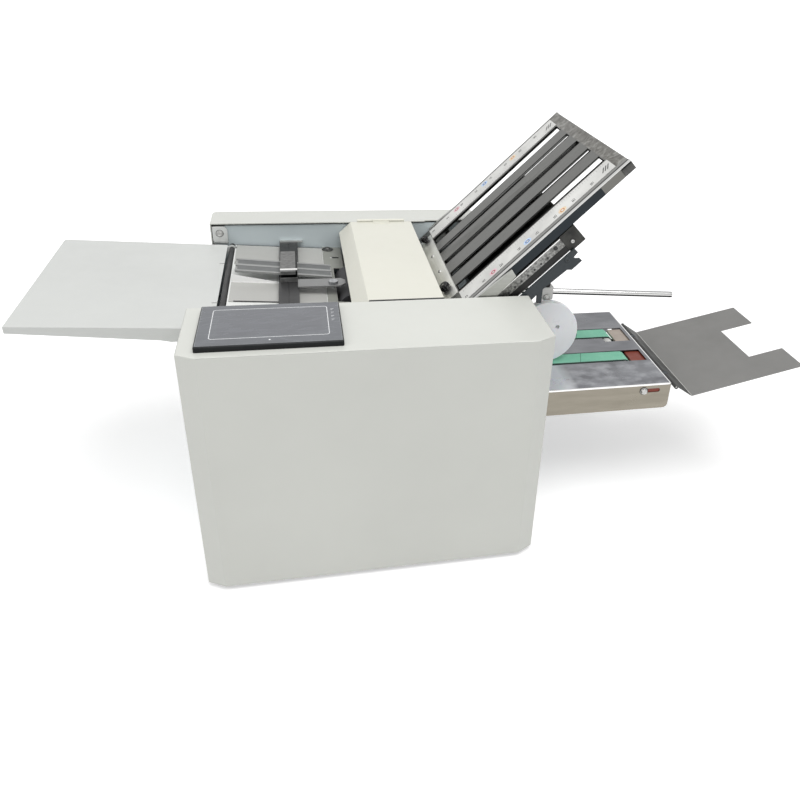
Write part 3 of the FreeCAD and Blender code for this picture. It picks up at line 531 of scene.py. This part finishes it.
LOOK = {
    "cover_paint": painted("cover_paint", (0.615, 0.624, 0.585)),
    "hood_paint": hood_paint(),
    "table_paint": painted("table_paint", (0.585, 0.598, 0.58)),
    "frame_paint": painted("frame_paint", (0.525, 0.587, 0.605), 0.42),
    "deck_paint": deck_paint(),
    "guide_paint": guide_paint(),
    "bar_black": painted("bar_black", (0.011, 0.011, 0.0115), 0.5, peel=0.35),
    "rail_paint": rail_paint(),
    "dark_steel": dark_bracket(),
    "motor_paint": painted("motor_paint", (0.02, 0.022, 0.025), 0.4, peel=0.4),
    "throat_paint": painted("throat_paint", (0.25, 0.255, 0.23), 0.5, peel=0.35),
    "tray_grey": bent_tray(),
    "bezel_plastic": moulded("bezel_plastic", (0.0085, 0.0095, 0.0105), 0.42, shine=0.2),
    "knob_black": moulded("knob_black", (0.005, 0.005, 0.006), 0.36, shine=0.3),
    "strip_plastic": moulded("strip_plastic", (0.12, 0.125, 0.125), 0.5),
    "scale_white": moulded("scale_white", (0.64, 0.64, 0.62), 0.45, depth=0.1),
    "roller_white": moulded("roller_white", (0.72, 0.72, 0.70), 0.4, depth=0.15),
    "pad_red": moulded("pad_red", (0.2, 0.038, 0.021), 0.5),
    "pad_tan": moulded("pad_tan", (0.43, 0.37, 0.32), 0.5),
    "inlet_black": moulded("inlet_black", (0.02, 0.02, 0.02), 0.45),
    "screen_face": glass_film("screen_face", (0.13, 0.135, 0.145), 0.2),
    "foot_rubber": rubbery("foot_rubber", (0.02, 0.02, 0.02)),
    "belt_black": rubbery("belt_black", (0.025, 0.025, 0.025)),
    "roller_rubber": rollers_look("roller_rubber", 164, 558),
    "feed_rubber": rollers_look("feed_rubber", 298, 438),
    "belt_green": woven_belt(),
    "wheel_white": wheel_plastic(),
    "clamp_cast": clamp_cast(),
    "carriage_alloy": moulded("carriage_alloy", (0.74, 0.74, 0.72), 0.4, depth=0.15),
    "tie_steel": brushed("tie_steel", (0.45, 0.45, 0.44), 0.3, ALONG_Y),
    "bracket_zinc": brushed("bracket_zinc", (0.45, 0.455, 0.435), 0.38, ALONG_X, contrast=0.1),
    "bracket_pale": brushed("bracket_pale", (0.66, 0.67, 0.66), 0.42, ALONG_X, contrast=0.06),
    "pulley_alloy": brushed("pulley_alloy", (0.55, 0.56, 0.57), 0.3, ALONG_Y),
    "stop_alloy": brushed("stop_alloy", (0.42, 0.43, 0.44), 0.35, ALONG_Y),
    "plate_steel": slat_steel(),
    "side_rail": side_rail(),
    "ruler_steel": ruler_face(),
    "bar_steel": brushed("bar_steel", (0.92, 0.92, 0.88), 0.36, ALONG_Y, contrast=0.1),
    "stop_clamp": cast("stop_clamp", (0.10, 0.10, 0.097)).material,
    "box_steel": folded_box(),
    "rod_chrome": round_rod(),
    "screw_steel": brushed("screw_steel", TURNED_STEEL, 0.3, ALONG_Z),
}
INK = {
    "black": printed("ink_black", (0.02, 0.02, 0.02)),
    "grey": printed("ink_grey", (0.36, 0.36, 0.37)),
    "red": printed("ink_red", (0.42, 0.06, 0.09)),
    "blue": printed("ink_blue", (0.06, 0.17, 0.45)),
    "orange": printed("ink_orange", (0.6, 0.24, 0.05)),
    "pink": printed("ink_pink", (0.72, 0.5, 0.56)),
    "sky": printed("ink_sky", (0.5, 0.64, 0.85)),
    "sand": printed("ink_sand", (0.78, 0.62, 0.42)),
    "white": printed("ink_white", (0.78, 0.79, 0.80)),
}
# Parts of the touch panel's film
WINDOW = glass_film("panel_window", (0.125, 0.13, 0.144), 0.2)
BORDER = glass_film("panel_border", (0.118, 0.125, 0.138), 0.18)
SURROUND = glass_film("panel_surround", (0.13, 0.137, 0.15), 0.2)
RIM = glass_film("panel_rim", (0.19, 0.2, 0.21), 0.25)

# Look of each CAD node
NODE_LOOK = {
    "cover_front": "cover_paint", "cover_rear": "cover_paint", "top_cover": "hood_paint",
    "feed_table": "table_paint", "deck": "deck_paint", "guide_front": "guide_paint",
    "guide_rear": "guide_paint", "frame_front": "frame_paint", "frame_rear": "frame_paint",
    "base_plate": "frame_paint", "feet": "foot_rubber", "touch_bezel": "bezel_plastic",
    "touch_screen": "screen_face", "cross_ties": "tie_steel", "fixed_pins": "tie_steel",
    "feed_core": "feed_rubber", "drive_roller": "tie_steel", "inner_brackets": "bracket_zinc",
    "wall_brackets": "bracket_pale", "cheek_plates": "bracket_zinc", "wheel_arm": "bracket_zinc",
    "cross_bar": "bar_black", "clamp_block": "clamp_cast", "hold_rail": "rail_paint",
    "rail_strips": "strip_plastic", "throat_plate": "throat_paint", "motor_body": "motor_paint",
    "motor_pulley": "pulley_alloy", "drive_belt": "belt_black", "plate1_face": "plate_steel",
    "plate1_back": "plate_steel", "plate1_rails": "side_rail", "plate1_bar": "bar_steel",
    "plate2_sheets": "plate_steel", "plate1_scales": "scale_white", "plate2_ruler": "ruler_steel",
    "plate1_stop": "stop_clamp", "plate2_stop": "stop_alloy", "dark_brackets": "dark_steel",
    "stack_rod": "rod_chrome", "wheel_carriage": "carriage_alloy", "press_wheel": "wheel_white",
    "delivery_box": "box_steel", "delivery_belts": "belt_green", "end_roller": "roller_white",
    "wear_pad": "pad_red", "exit_tray": "tray_grey", "power_inlet": "inlet_black", "guide_pad": "pad_tan",
    "switch_rocker": "inlet_black", "fasteners": "screw_steel", "hood_hinge": "hood_paint",
    "gap_screw": "stop_alloy", "lock_knob_front": "knob_black", "lock_knob_rear": "knob_black",
    "carriage_screw": "knob_black", "fold_roller_1": "roller_rubber", "fold_roller_2": "roller_rubber",
    "fold_roller_3": "roller_rubber", "fold_roller_4": "roller_rubber",
}
# Width in millimetres of the bevels on a node's edges
ROUNDED = {
    "cover_front": 1.2, "cover_rear": 1.2, "top_cover": 0.7, "feed_table": 0.5, "deck": 0.4,
    "guide_front": 0.35, "guide_rear": 0.35, "touch_bezel": 0.5, "cross_bar": 0.5, "clamp_block": 0.6,
    "hold_rail": 0.35, "plate1_face": 0.3, "plate1_bar": 0.4, "plate1_scales": 0.15,
    "dark_brackets": 0.4, "cheek_plates": 0.4, "delivery_box": 0.5, "exit_tray": 0.4, "wall_brackets": 0.4,
    "wheel_carriage": 0.6, "press_wheel": 1.0, "wheel_arm": 0.4, "wear_pad": 0.4, "guide_pad": 0.4,
    "hood_hinge": 0.3, "throat_plate": 0.2, "base_plate": 0.4, "feet": 0.6,
    "plate2_sheets": 0.3, "plate2_ruler": 0.2, "plate1_stop": 0.4, "plate2_stop": 0.4,
    "power_inlet": 0.4, "switch_rocker": 0.5, "motor_body": 1.0, "stack_rod": 0.4,
}


def dress_nodes():
    # Every CAD node gets its material, and thin bevels catch the light on its folded edges
    for name, look in NODE_LOOK.items():
        node = NODES[name]
        node.data.materials.clear()
        node.data.materials.append(LOOK[look])
        if name in ROUNDED:
            weld = node.modifiers.new("weld", "WELD")
            weld.merge_threshold = 0.00001
            bevel = node.modifiers.new("edges", "BEVEL")
            bevel.width = ROUNDED[name] / 1000
            bevel.segments = 2
            bevel.limit_method = "ANGLE"
            bevel.angle_limit = math.radians(38)
            bevel.harden_normals = True


# Building blocks for the added pieces

def brick(bm, to_world, a, b, c, material=0):
    # A block between the ranges a, b and c of a local frame
    corners = [bm.verts.new(to_world(i, j, k)) for i in a for j in b for k in c]
    for face in ((0, 1, 3, 2), (4, 6, 7, 5), (0, 4, 5, 1), (2, 3, 7, 6), (0, 2, 6, 4), (1, 5, 7, 3)):
        bm.faces.new([corners[i] for i in face]).material_index = material


def lathe(bm, to_world, profile, steps, material=0, ripple=None):
    # Turns a profile of (radius, height) about the local frame's own height axis
    rings = []
    for radius, height in profile:
        ring = []
        for i in range(steps):
            angle = 2 * math.pi * (i + 0.5) / steps
            r = radius * (ripple(angle) if ripple else 1.0)
            ring.append(bm.verts.new(to_world(r * math.cos(angle), r * math.sin(angle), height)))
        rings.append(ring)
    for low, high in zip(rings, rings[1:]):
        for i in range(steps):
            j = (i + 1) % steps
            bm.faces.new((low[i], low[j], high[j], high[i])).material_index = material
    bm.faces.new(list(reversed(rings[0]))).material_index = material
    bm.faces.new(rings[-1]).material_index = material


def axes_at(origin, up, side):
    # Local frame in millimetres standing on a point, with its height along "up"
    up = Vector(up).normalized()
    side = Vector(side).normalized()
    other = up.cross(side)
    return lambda u, v, h: origin + (side * u + other * v + up * h) / 1000


def piece(name, body, bm, materials, crisp=35):
    # Ends a piece: smooth shading with edges sharper than "crisp" degrees kept, slot and body
    bmesh.ops.recalc_face_normals(bm, faces=bm.faces)
    mesh = bpy.data.meshes.new(name)
    bm.to_mesh(mesh)
    bm.free()
    for material in materials:
        mesh.materials.append(material)
    for polygon in mesh.polygons:
        polygon.use_smooth = True
    mesh.set_sharp_from_angle(angle=math.radians(crisp))
    thing = bpy.data.objects.new(name, mesh)
    bpy.context.scene.collection.objects.link(thing)
    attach(thing, body)
    return thing


# Touch panel film

FILM_BASE = COVER_TOP + 8.7        # top of the bezel
CORNER_STEPS = 8


def ribbon(bm, to_world, points, width, low, high, material):
    # A closed flat line of even width along a round-cornered path
    centre = sum((Vector(p) for p in points), Vector((0, 0))) / len(points)
    rows = []
    for i, p in enumerate(points):
        before, after = Vector(points[i - 1]), Vector(points[(i + 1) % len(points)])
        out = (after - before).orthogonal().normalized()
        if out.dot(Vector(p) - centre) < 0:
            out = -out
        inner = Vector(p) - out * width
        rows.append([bm.verts.new(to_world(a, b, c)) for a, b, c in
                     ((*p, low), (*p, high), (*inner, high), (*inner, low))])
    for i, row in enumerate(rows):
        following = rows[(i + 1) % len(rows)]
        for k in range(4):
            m = (k + 1) % 4
            bm.faces.new((row[k], row[m], following[m], following[k])).material_index = material


def round_corners(x0, x1, y0, y1, radius):
    points = []
    for cx, cy, turn in ((x1 - radius, y1 - radius, 0), (x0 + radius, y1 - radius, 1),
                         (x0 + radius, y0 + radius, 2), (x1 - radius, y0 + radius, 3)):
        for i in range(CORNER_STEPS + 1):
            angle = math.pi / 2 * (turn + i / CORNER_STEPS)
            points.append((cx + radius * math.cos(angle), cy + radius * math.sin(angle)))
    return points


def panel_film():
    # Thin printed film over the bezel: paler window and a round-cornered white outline
    border, white, window, surround, rim = range(5)
    z = FILM_BASE
    bm = bmesh.new()
    brick(bm, place, (26.1, 226.5), (17.4, 147.4), (z, z + 0.25), border)
    brick(bm, place, (43.5, 208.5), (37.5, 132.5), (z, z + 0.28), surround)
    brick(bm, place, (53.0, 199.0), (45.0, 126.0), (z, z + 0.31), window)
    ribbon(bm, place, round_corners(42.8, 209.2, 36.8, 133.2, 5.0), 1.0, z + 0.2, z + 0.36, white)
    ribbon(bm, place, round_corners(26.3, 226.3, 17.6, 147.2, 3.0), 0.9, z + 0.2, z + 0.33, rim)
    piece("panel_film", "machine", bm, [BORDER, INK["white"], WINDOW, SURROUND, RIM], 20)


def panel_marks():
    # One round indicator and four pairs of short lines at the film's right edge
    z = FILM_BASE + 0.25
    bm = bmesh.new()
    lathe(bm, axes_at(place(125.9, 28.8, z), Z_WAY, X_WAY), [(1.5, 0), (1.4, 0.15), (0.8, 0.35)], 20)
    for y in (86, 98, 110, 122):
        for length, low, high in ((4.5, y, y + 0.9), (2.5, y - 3, y - 2.3)):
            brick(bm, place, (214, 214 + length), (low, high), (z, z + 0.06))
    piece("panel_marks", "machine", bm, [INK["white"]])


# Screws and bolts

def hex_head(bm, to_world, across, height, washer):
    # Thin black ring just wider than the washer, washer, chamfered hexagon and a shallow dish in its top
    r = across / math.sqrt(3)
    thick = 0.9
    lathe(bm, to_world, [(washer + 0.9, 0), (washer + 0.9, 0.2)], 32, 1)
    lathe(bm, to_world, [(washer, 0), (washer, thick * 0.8), (washer - 0.25, thick)], 32)
    lathe(bm, to_world, [(r, thick), (r, height * 0.82), (r * 0.9, height), (r * 0.6, height),
                         (r * 0.5, height - 0.5)], 6)


def cross_head(bm, to_world, radius, height):
    # Pan-head screw with a cross recess, drawn in as a black cross of painted shade
    lathe(bm, to_world, [(radius, 0), (radius, height * 0.35), (radius * 0.86, height * 0.75),
                         (radius * 0.5, height)], 28)
    arm = radius * 0.45
    for a, b in ((arm, radius * 0.1), (radius * 0.1, arm)):
        brick(bm, to_world, (-a, a), (-b, b), (height - 0.2, height + 0.02), 1)


def bolts():
    # Heads in the places of the solids' plain ones, which they replace
    bm = bmesh.new()
    # Rear cover
    for x in COVER_SCREWS_X:
        for z in COVER_SCREWS_Z:
            cross_head(bm, axes_at(place(x, BACK_FACE, z), Y_WAY, X_WAY), 4.3, 2.3)
    # Table brackets, inside both covers
    for spot, way in (((19, 557, 408), NEARWARD), ((19, 165, 399), Y_WAY)):
        hex_head(bm, axes_at(place(*spot), way, X_WAY), 9.5, 4.0, 6.6)
    # Dome screw of the throat plate
    lathe(bm, axes_at(place(227, 547, THROAT_TOP), Z_WAY, X_WAY),
          [(11.4, 0), (11.2, 1.0), (9.0, 1.8), (6.0, 2.2), (5.4, 3.4), (3.8, 4.6), (1.0, 5.1)], 32, 2)
    # Long plate's mount bar
    for s, y in ((13.7, 428), (14, 350)):
        cross_head(bm, axes_at(on_plate(s, y, 3), OFF_PLATE, Y_WAY), 3.4, 2.4)
    # Short plate: dark nut and the end channel's screw
    lathe(bm, axes_at(on_plate(204.5, 171.5, -29), NEARWARD, X_WAY), [(3.9, 0), (3.7, 1.6), (3.0, 2.5)], 8, 1)
    cross_head(bm, axes_at(on_plate(233.2, NEAR_SIDE, -40.7), NEARWARD, X_WAY), 3.4, 1.9)
    # Delivery box: nuts of the end roller's axle, and screws of the end face
    for y, way in ((149.8, NEARWARD), (464.5, Y_WAY)):
        hex_head(bm, axes_at(place(IDLER_X, y, IDLER_Z), way, X_WAY), 11.0, 4.4, 6.9)
    for y in (160, 454):
        cross_head(bm, axes_at(place(BOX_CORNER[0], y, 228), X_WAY, Y_WAY), 3.6, 2.0)
    heads = piece("bolt_heads", "machine", bm,
                  [LOOK["screw_steel"], INK["black"], LOOK["stop_clamp"]])
    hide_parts("fasteners")


def hook_bolt():
    # The cross-head bolt on the near hooked bracket
    bm = bmesh.new()
    cross_head(bm, axes_at(place(*HOOK_BOLT), NEARWARD, X_WAY), 4.6, 1.8)
    piece("hook_bolt", "machine", bm, [LOOK["dark_steel"], INK["black"]])


# Hand knobs

KNOB_LOBES = 10


def scalloped(angle):
    return 1 - 0.09 * (0.5 + 0.5 * math.cos(KNOB_LOBES * angle)) ** 2


def knob(name, node, to_world, radius, low, high, neck=0.0):
    # Moulded knob: scalloped rim, rolled shoulder, dished top with a bright screw end
    bm = bmesh.new()
    h = high - low
    profile = [(radius * 0.9, low), (radius, low + h * 0.12), (radius, low + h * 0.62),
               (radius * 0.93, low + h * 0.84), (radius * 0.78, low + h * 0.97), (radius * 0.5, high),
               (radius * 0.36, high - h * 0.05)]
    lathe(bm, to_world, profile, KNOB_LOBES * 8, ripple=scalloped)
    if neck:
        lathe(bm, to_world, [(neck, low - 1.7), (neck, low + 0.1)], 24)
    lathe(bm, to_world, [(radius * 0.24, high - h * 0.08), (radius * 0.24, high - h * 0.02),
                         (radius * 0.16, high)], 16, 1)
    made = piece(name, node, bm, [LOOK["knob_black"], LOOK["screw_steel"]], 50)
    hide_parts(node)


def knobs():
    for side, s, y, radius in (("rear", 15.6, 510, 7.5), ("front", 12.3, 271, 10)):
        spot = axes_at(on_plate(s, y, 0), OFF_PLATE, Y_WAY)
        knob("knob_" + side, "lock_knob_" + side, spot, radius, 5, 15, neck=radius - 3)
    spot = axes_at(place(617, 286.36, 0), Z_WAY, X_WAY)
    knob("knob_carriage", "carriage_screw", spot, 8, 390.3, 401)


# Printed scales

PRINT = (0.6, 0.68)                # print layer above the long plate's face
TICK_PITCH = 5
TICKS = 64
FIRST_TICK = 38
FIGURE_PITCH = 40
FIGURES = 8
RING_PITCH = 77
SCALE_INKS = ("black", "red", "blue", "orange", "grey", "pink", "sky", "sand")
RING_INKS = (("pink", "red"), ("sky", "blue"), ("sand", "orange"))
# Strokes of each figure, and the ends of each stroke on a grid one wide and two high
SEGMENTS = {
    "0": "abcdef", "1": "bc", "2": "abged", "3": "abgcd", "4": "fgbc",
    "5": "afgcd", "6": "afgedc", "7": "abc", "8": "abcdefg", "9": "abcdfg",
}
STROKES = {
    "a": ((0, 2), (1, 2)), "b": ((1, 1), (1, 2)), "c": ((1, 0), (1, 1)), "d": ((0, 0), (1, 0)),
    "e": ((0, 0), (0, 1)), "f": ((0, 1), (0, 2)), "g": ((0, 1), (1, 1)),
}


def numeral(bm, to_world, text, size, weight):
    # Plain figures drawn with straight strokes, centred on the line of their middle strokes
    half = size / 2
    for i, digit in enumerate(text):
        for stroke in SEGMENTS[digit]:
            (a, b), (c, d) = STROKES[stroke]
            across = (i * 1.7 + a) * half - weight, (i * 1.7 + c) * half + weight
            up = (b - 1) * half - weight, (d - 1) * half + weight
            brick(bm, to_world, across, up, PRINT)


def ring(bm, to_world, radius, width, steps, material):
    # A flat printed ring
    inner, outer = [], []
    for n in (PRINT[0], PRINT[1] + 0.05):
        for r, store in ((radius - width, inner), (radius, outer)):
            store.append([bm.verts.new(to_world(r * math.cos(2 * math.pi * i / steps),
                                                r * math.sin(2 * math.pi * i / steps), n))
                          for i in range(steps)])
    for i in range(steps):
        j = (i + 1) % steps
        for a, b in ((outer[0], outer[1]), (inner[1], inner[0]), (inner[0], outer[0]), (outer[1], inner[1])):
            bm.faces.new((a[i], a[j], b[j], b[i])).material_index = material


def strip_print(bm, tick_edge, way, line, mark_line, first_ring):
    # One strip of the long fold plate: faint ticks inside, figures and rings along "line", slanted
    # marks near its upper end
    for i in range(TICKS):
        s = FIRST_TICK + TICK_PITCH * i
        reach = 9.0 if i % 4 == 0 else 5.0
        side = sorted((tick_edge + way * 3.0, tick_edge + way * (3.0 + reach)))
        brick(bm, on_plate, (s - 0.25, s + 0.25), side, PRINT, SCALE_INKS.index("grey"))
    for i in range(FIGURES):
        s = FIRST_TICK + FIGURE_PITCH * i
        numeral(bm, lambda u, v, n: on_plate(s + v, line + 3.5 - u, n), str(10 + 8 * i), 5.2, 0.4)
    for i, (rim, core) in enumerate(RING_INKS):
        flat = axes_at(on_plate(first_ring + RING_PITCH * i, line, 0), OFF_PLATE, UP_PLATE)
        ring(bm, flat, 8.0, 2.6, 28, SCALE_INKS.index(rim))
        ring(bm, flat, 4.6, 1.9, 18, SCALE_INKS.index(core))
    for s in (345, 350, 355):
        brick(bm, lambda a, b, n: on_plate(a + 0.55 * (b - mark_line), b, n),
              (s, s + 2.2), (mark_line - 7, mark_line + 7), PRINT)


def scales():
    bm = bmesh.new()
    strip_print(bm, tick_edge=232.0, way=-1, line=201.0, mark_line=210.0, first_ring=100)
    strip_print(bm, tick_edge=507.0, way=1, line=535.0, mark_line=526.0, first_ring=104)
    piece("scale_print", "machine", bm, [INK[name] for name in SCALE_INKS])


def ruler_holes():
    # Ten holes of the short plate's ruler, drawn as thin black dots of painted shade
    bm = bmesh.new()
    for i in range(10):
        dot = axes_at(on_plate(184.1 - 14.5 * i, NEAR_SIDE - 0.8, -33.2), NEARWARD, X_WAY)
        lathe(bm, dot, [(2.1, 0), (2.1, 0.1)], 16)
    piece("ruler_holes", "machine", bm, [INK["black"]])


# Delivery details

def belt_splices():
    # Skived joint of each belt, as a thin slanted seam across its top run
    bm = bmesh.new()
    for x, (near, far) in zip((690.0, 716.0), BELTS):
        brick(bm, lambda u, v, n: place(x + u + 0.35 * (v - near), v, n),
              (-0.35, 0.35), (near + 0.4, far - 0.4), (BELT_TOP - 0.05, BELT_TOP + 0.08))
    piece("belt_seams", "machine", bm, [LOOK["belt_black"]])


# Stage, light and camera

def seen_rays(tree):
    # 1 for rays that see a surface straight, in a mirror or through glass, else 0
    rays = tree.nodes.new("ShaderNodeLightPath")
    total = rays.outputs["Is Camera Ray"]
    for kind in ("Is Glossy Ray", "Is Transmission Ray"):
        larger = tree.nodes.new("ShaderNodeMath")
        larger.operation = "MAXIMUM"
        tree.links.new(total, larger.inputs[0])
        tree.links.new(rays.outputs[kind], larger.inputs[1])
        total = larger.outputs[0]
    return total


def white_floor():
    # The floor keeps the shadow near the machine; from 0.9 m out its glow grows to pure white
    bpy.ops.mesh.primitive_plane_add(size=60, location=(0, 0, 0))
    floor = bpy.context.object
    floor.name = "floor"
    material = bpy.data.materials.new("floor_white")
    material.use_nodes = True
    tree = material.node_tree
    shader = tree.nodes["Principled BSDF"]
    shader.inputs["Base Color"].default_value = (0.8, 0.8, 0.8, 1)
    shader.inputs["Roughness"].default_value = 0.9
    shader.inputs["Emission Color"].default_value = (1, 1, 1, 1)
    where = tree.nodes.new("ShaderNodeTexCoord")
    away = tree.nodes.new("ShaderNodeVectorMath")
    away.operation = "LENGTH"
    tree.links.new(where.outputs["Object"], away.inputs[0])
    glow = rescaled(tree, away.outputs["Value"], 0.9, 2.6, 0.46, 0.9)
    level = tree.nodes.new("ShaderNodeMath")
    level.operation = "MULTIPLY"
    tree.links.new(seen_rays(tree), level.inputs[0])
    tree.links.new(glow, level.inputs[1])
    tree.links.new(level.outputs[0], shader.inputs["Emission Strength"])
    floor.data.materials.append(material)


def white_world():
    # White at strength 1 where it is seen, dimmer where it lights the machine
    world = bpy.data.worlds.new("studio")
    bpy.context.scene.world = world
    world.use_nodes = True
    tree = world.node_tree
    background = tree.nodes["Background"]
    background.inputs["Color"].default_value = (1, 1, 1, 1)
    tree.links.new(rescaled(tree, seen_rays(tree), 0.0, 1.0, 0.45, 1.0), background.inputs["Strength"])


def soft_light(name, location, target, size, power):
    data = bpy.data.lights.new(name, "AREA")
    data.shape = "RECTANGLE"
    data.size, data.size_y = size
    data.energy = power
    lamp = bpy.data.objects.new(name, data)
    lamp.location = location
    way = Vector(target) - Vector(location)
    lamp.rotation_euler = way.to_track_quat("-Z", "Y").to_euler()
    bpy.context.scene.collection.objects.link(lamp)


def lights():
    # One large overhead light and two weak fills
    soft_light("overhead", (0.3, -0.8, 3.2), (0.0, 0.0, 0.35), (2.6, 2.6), 70)
    soft_light("front_fill", (-0.6, -3.2, 1.5), (0.0, 0.0, 0.35), (3.0, 2.0), 12)
    soft_light("left_fill", (-2.6, -0.6, 2.2), (0.0, 0.0, 0.3), (1.6, 1.6), 14)


# The camera's place, turn and lens were fitted to points of the photo
CAMERA_PLACE = (-0.24392, -1.26468, 0.93554)
CAMERA_YAW = 0.261478
CAMERA_PITCH = 0.498864
CAMERA_ROLL = 0.0707754
SENSOR_WIDTH = 36.0
LENS = 33.804
LENS_SHIFT = (-0.10576, -0.051125)


def camera():
    level = math.cos(CAMERA_PITCH)
    forward = Vector((math.sin(CAMERA_YAW) * level, math.cos(CAMERA_YAW) * level, -math.sin(CAMERA_PITCH)))
    right = forward.cross(Vector(Z_WAY)).normalized()
    up = right.cross(forward)
    tilted_right = right * math.cos(CAMERA_ROLL) + up * math.sin(CAMERA_ROLL)
    tilted_up = up * math.cos(CAMERA_ROLL) - right * math.sin(CAMERA_ROLL)
    data = bpy.data.cameras.new("camera")
    data.sensor_width = SENSOR_WIDTH
    data.lens = LENS
    data.shift_x, data.shift_y = LENS_SHIFT
    data.clip_start = 0.05
    data.clip_end = 100
    eye = bpy.data.objects.new("camera", data)
    turn = Matrix((tilted_right, tilted_up, -forward)).transposed()
    eye.matrix_world = Matrix.Translation(CAMERA_PLACE) @ turn.to_4x4()
    bpy.context.scene.collection.objects.link(eye)
    bpy.context.scene.camera = eye


camera()
white_floor()
white_world()
lights()
dress_nodes()
panel_film()
panel_marks()
bolts()
hook_bolt()
knobs()
scales()
ruler_holes()
belt_splices()

bpy.context.scene.view_settings.view_transform = "Standard"
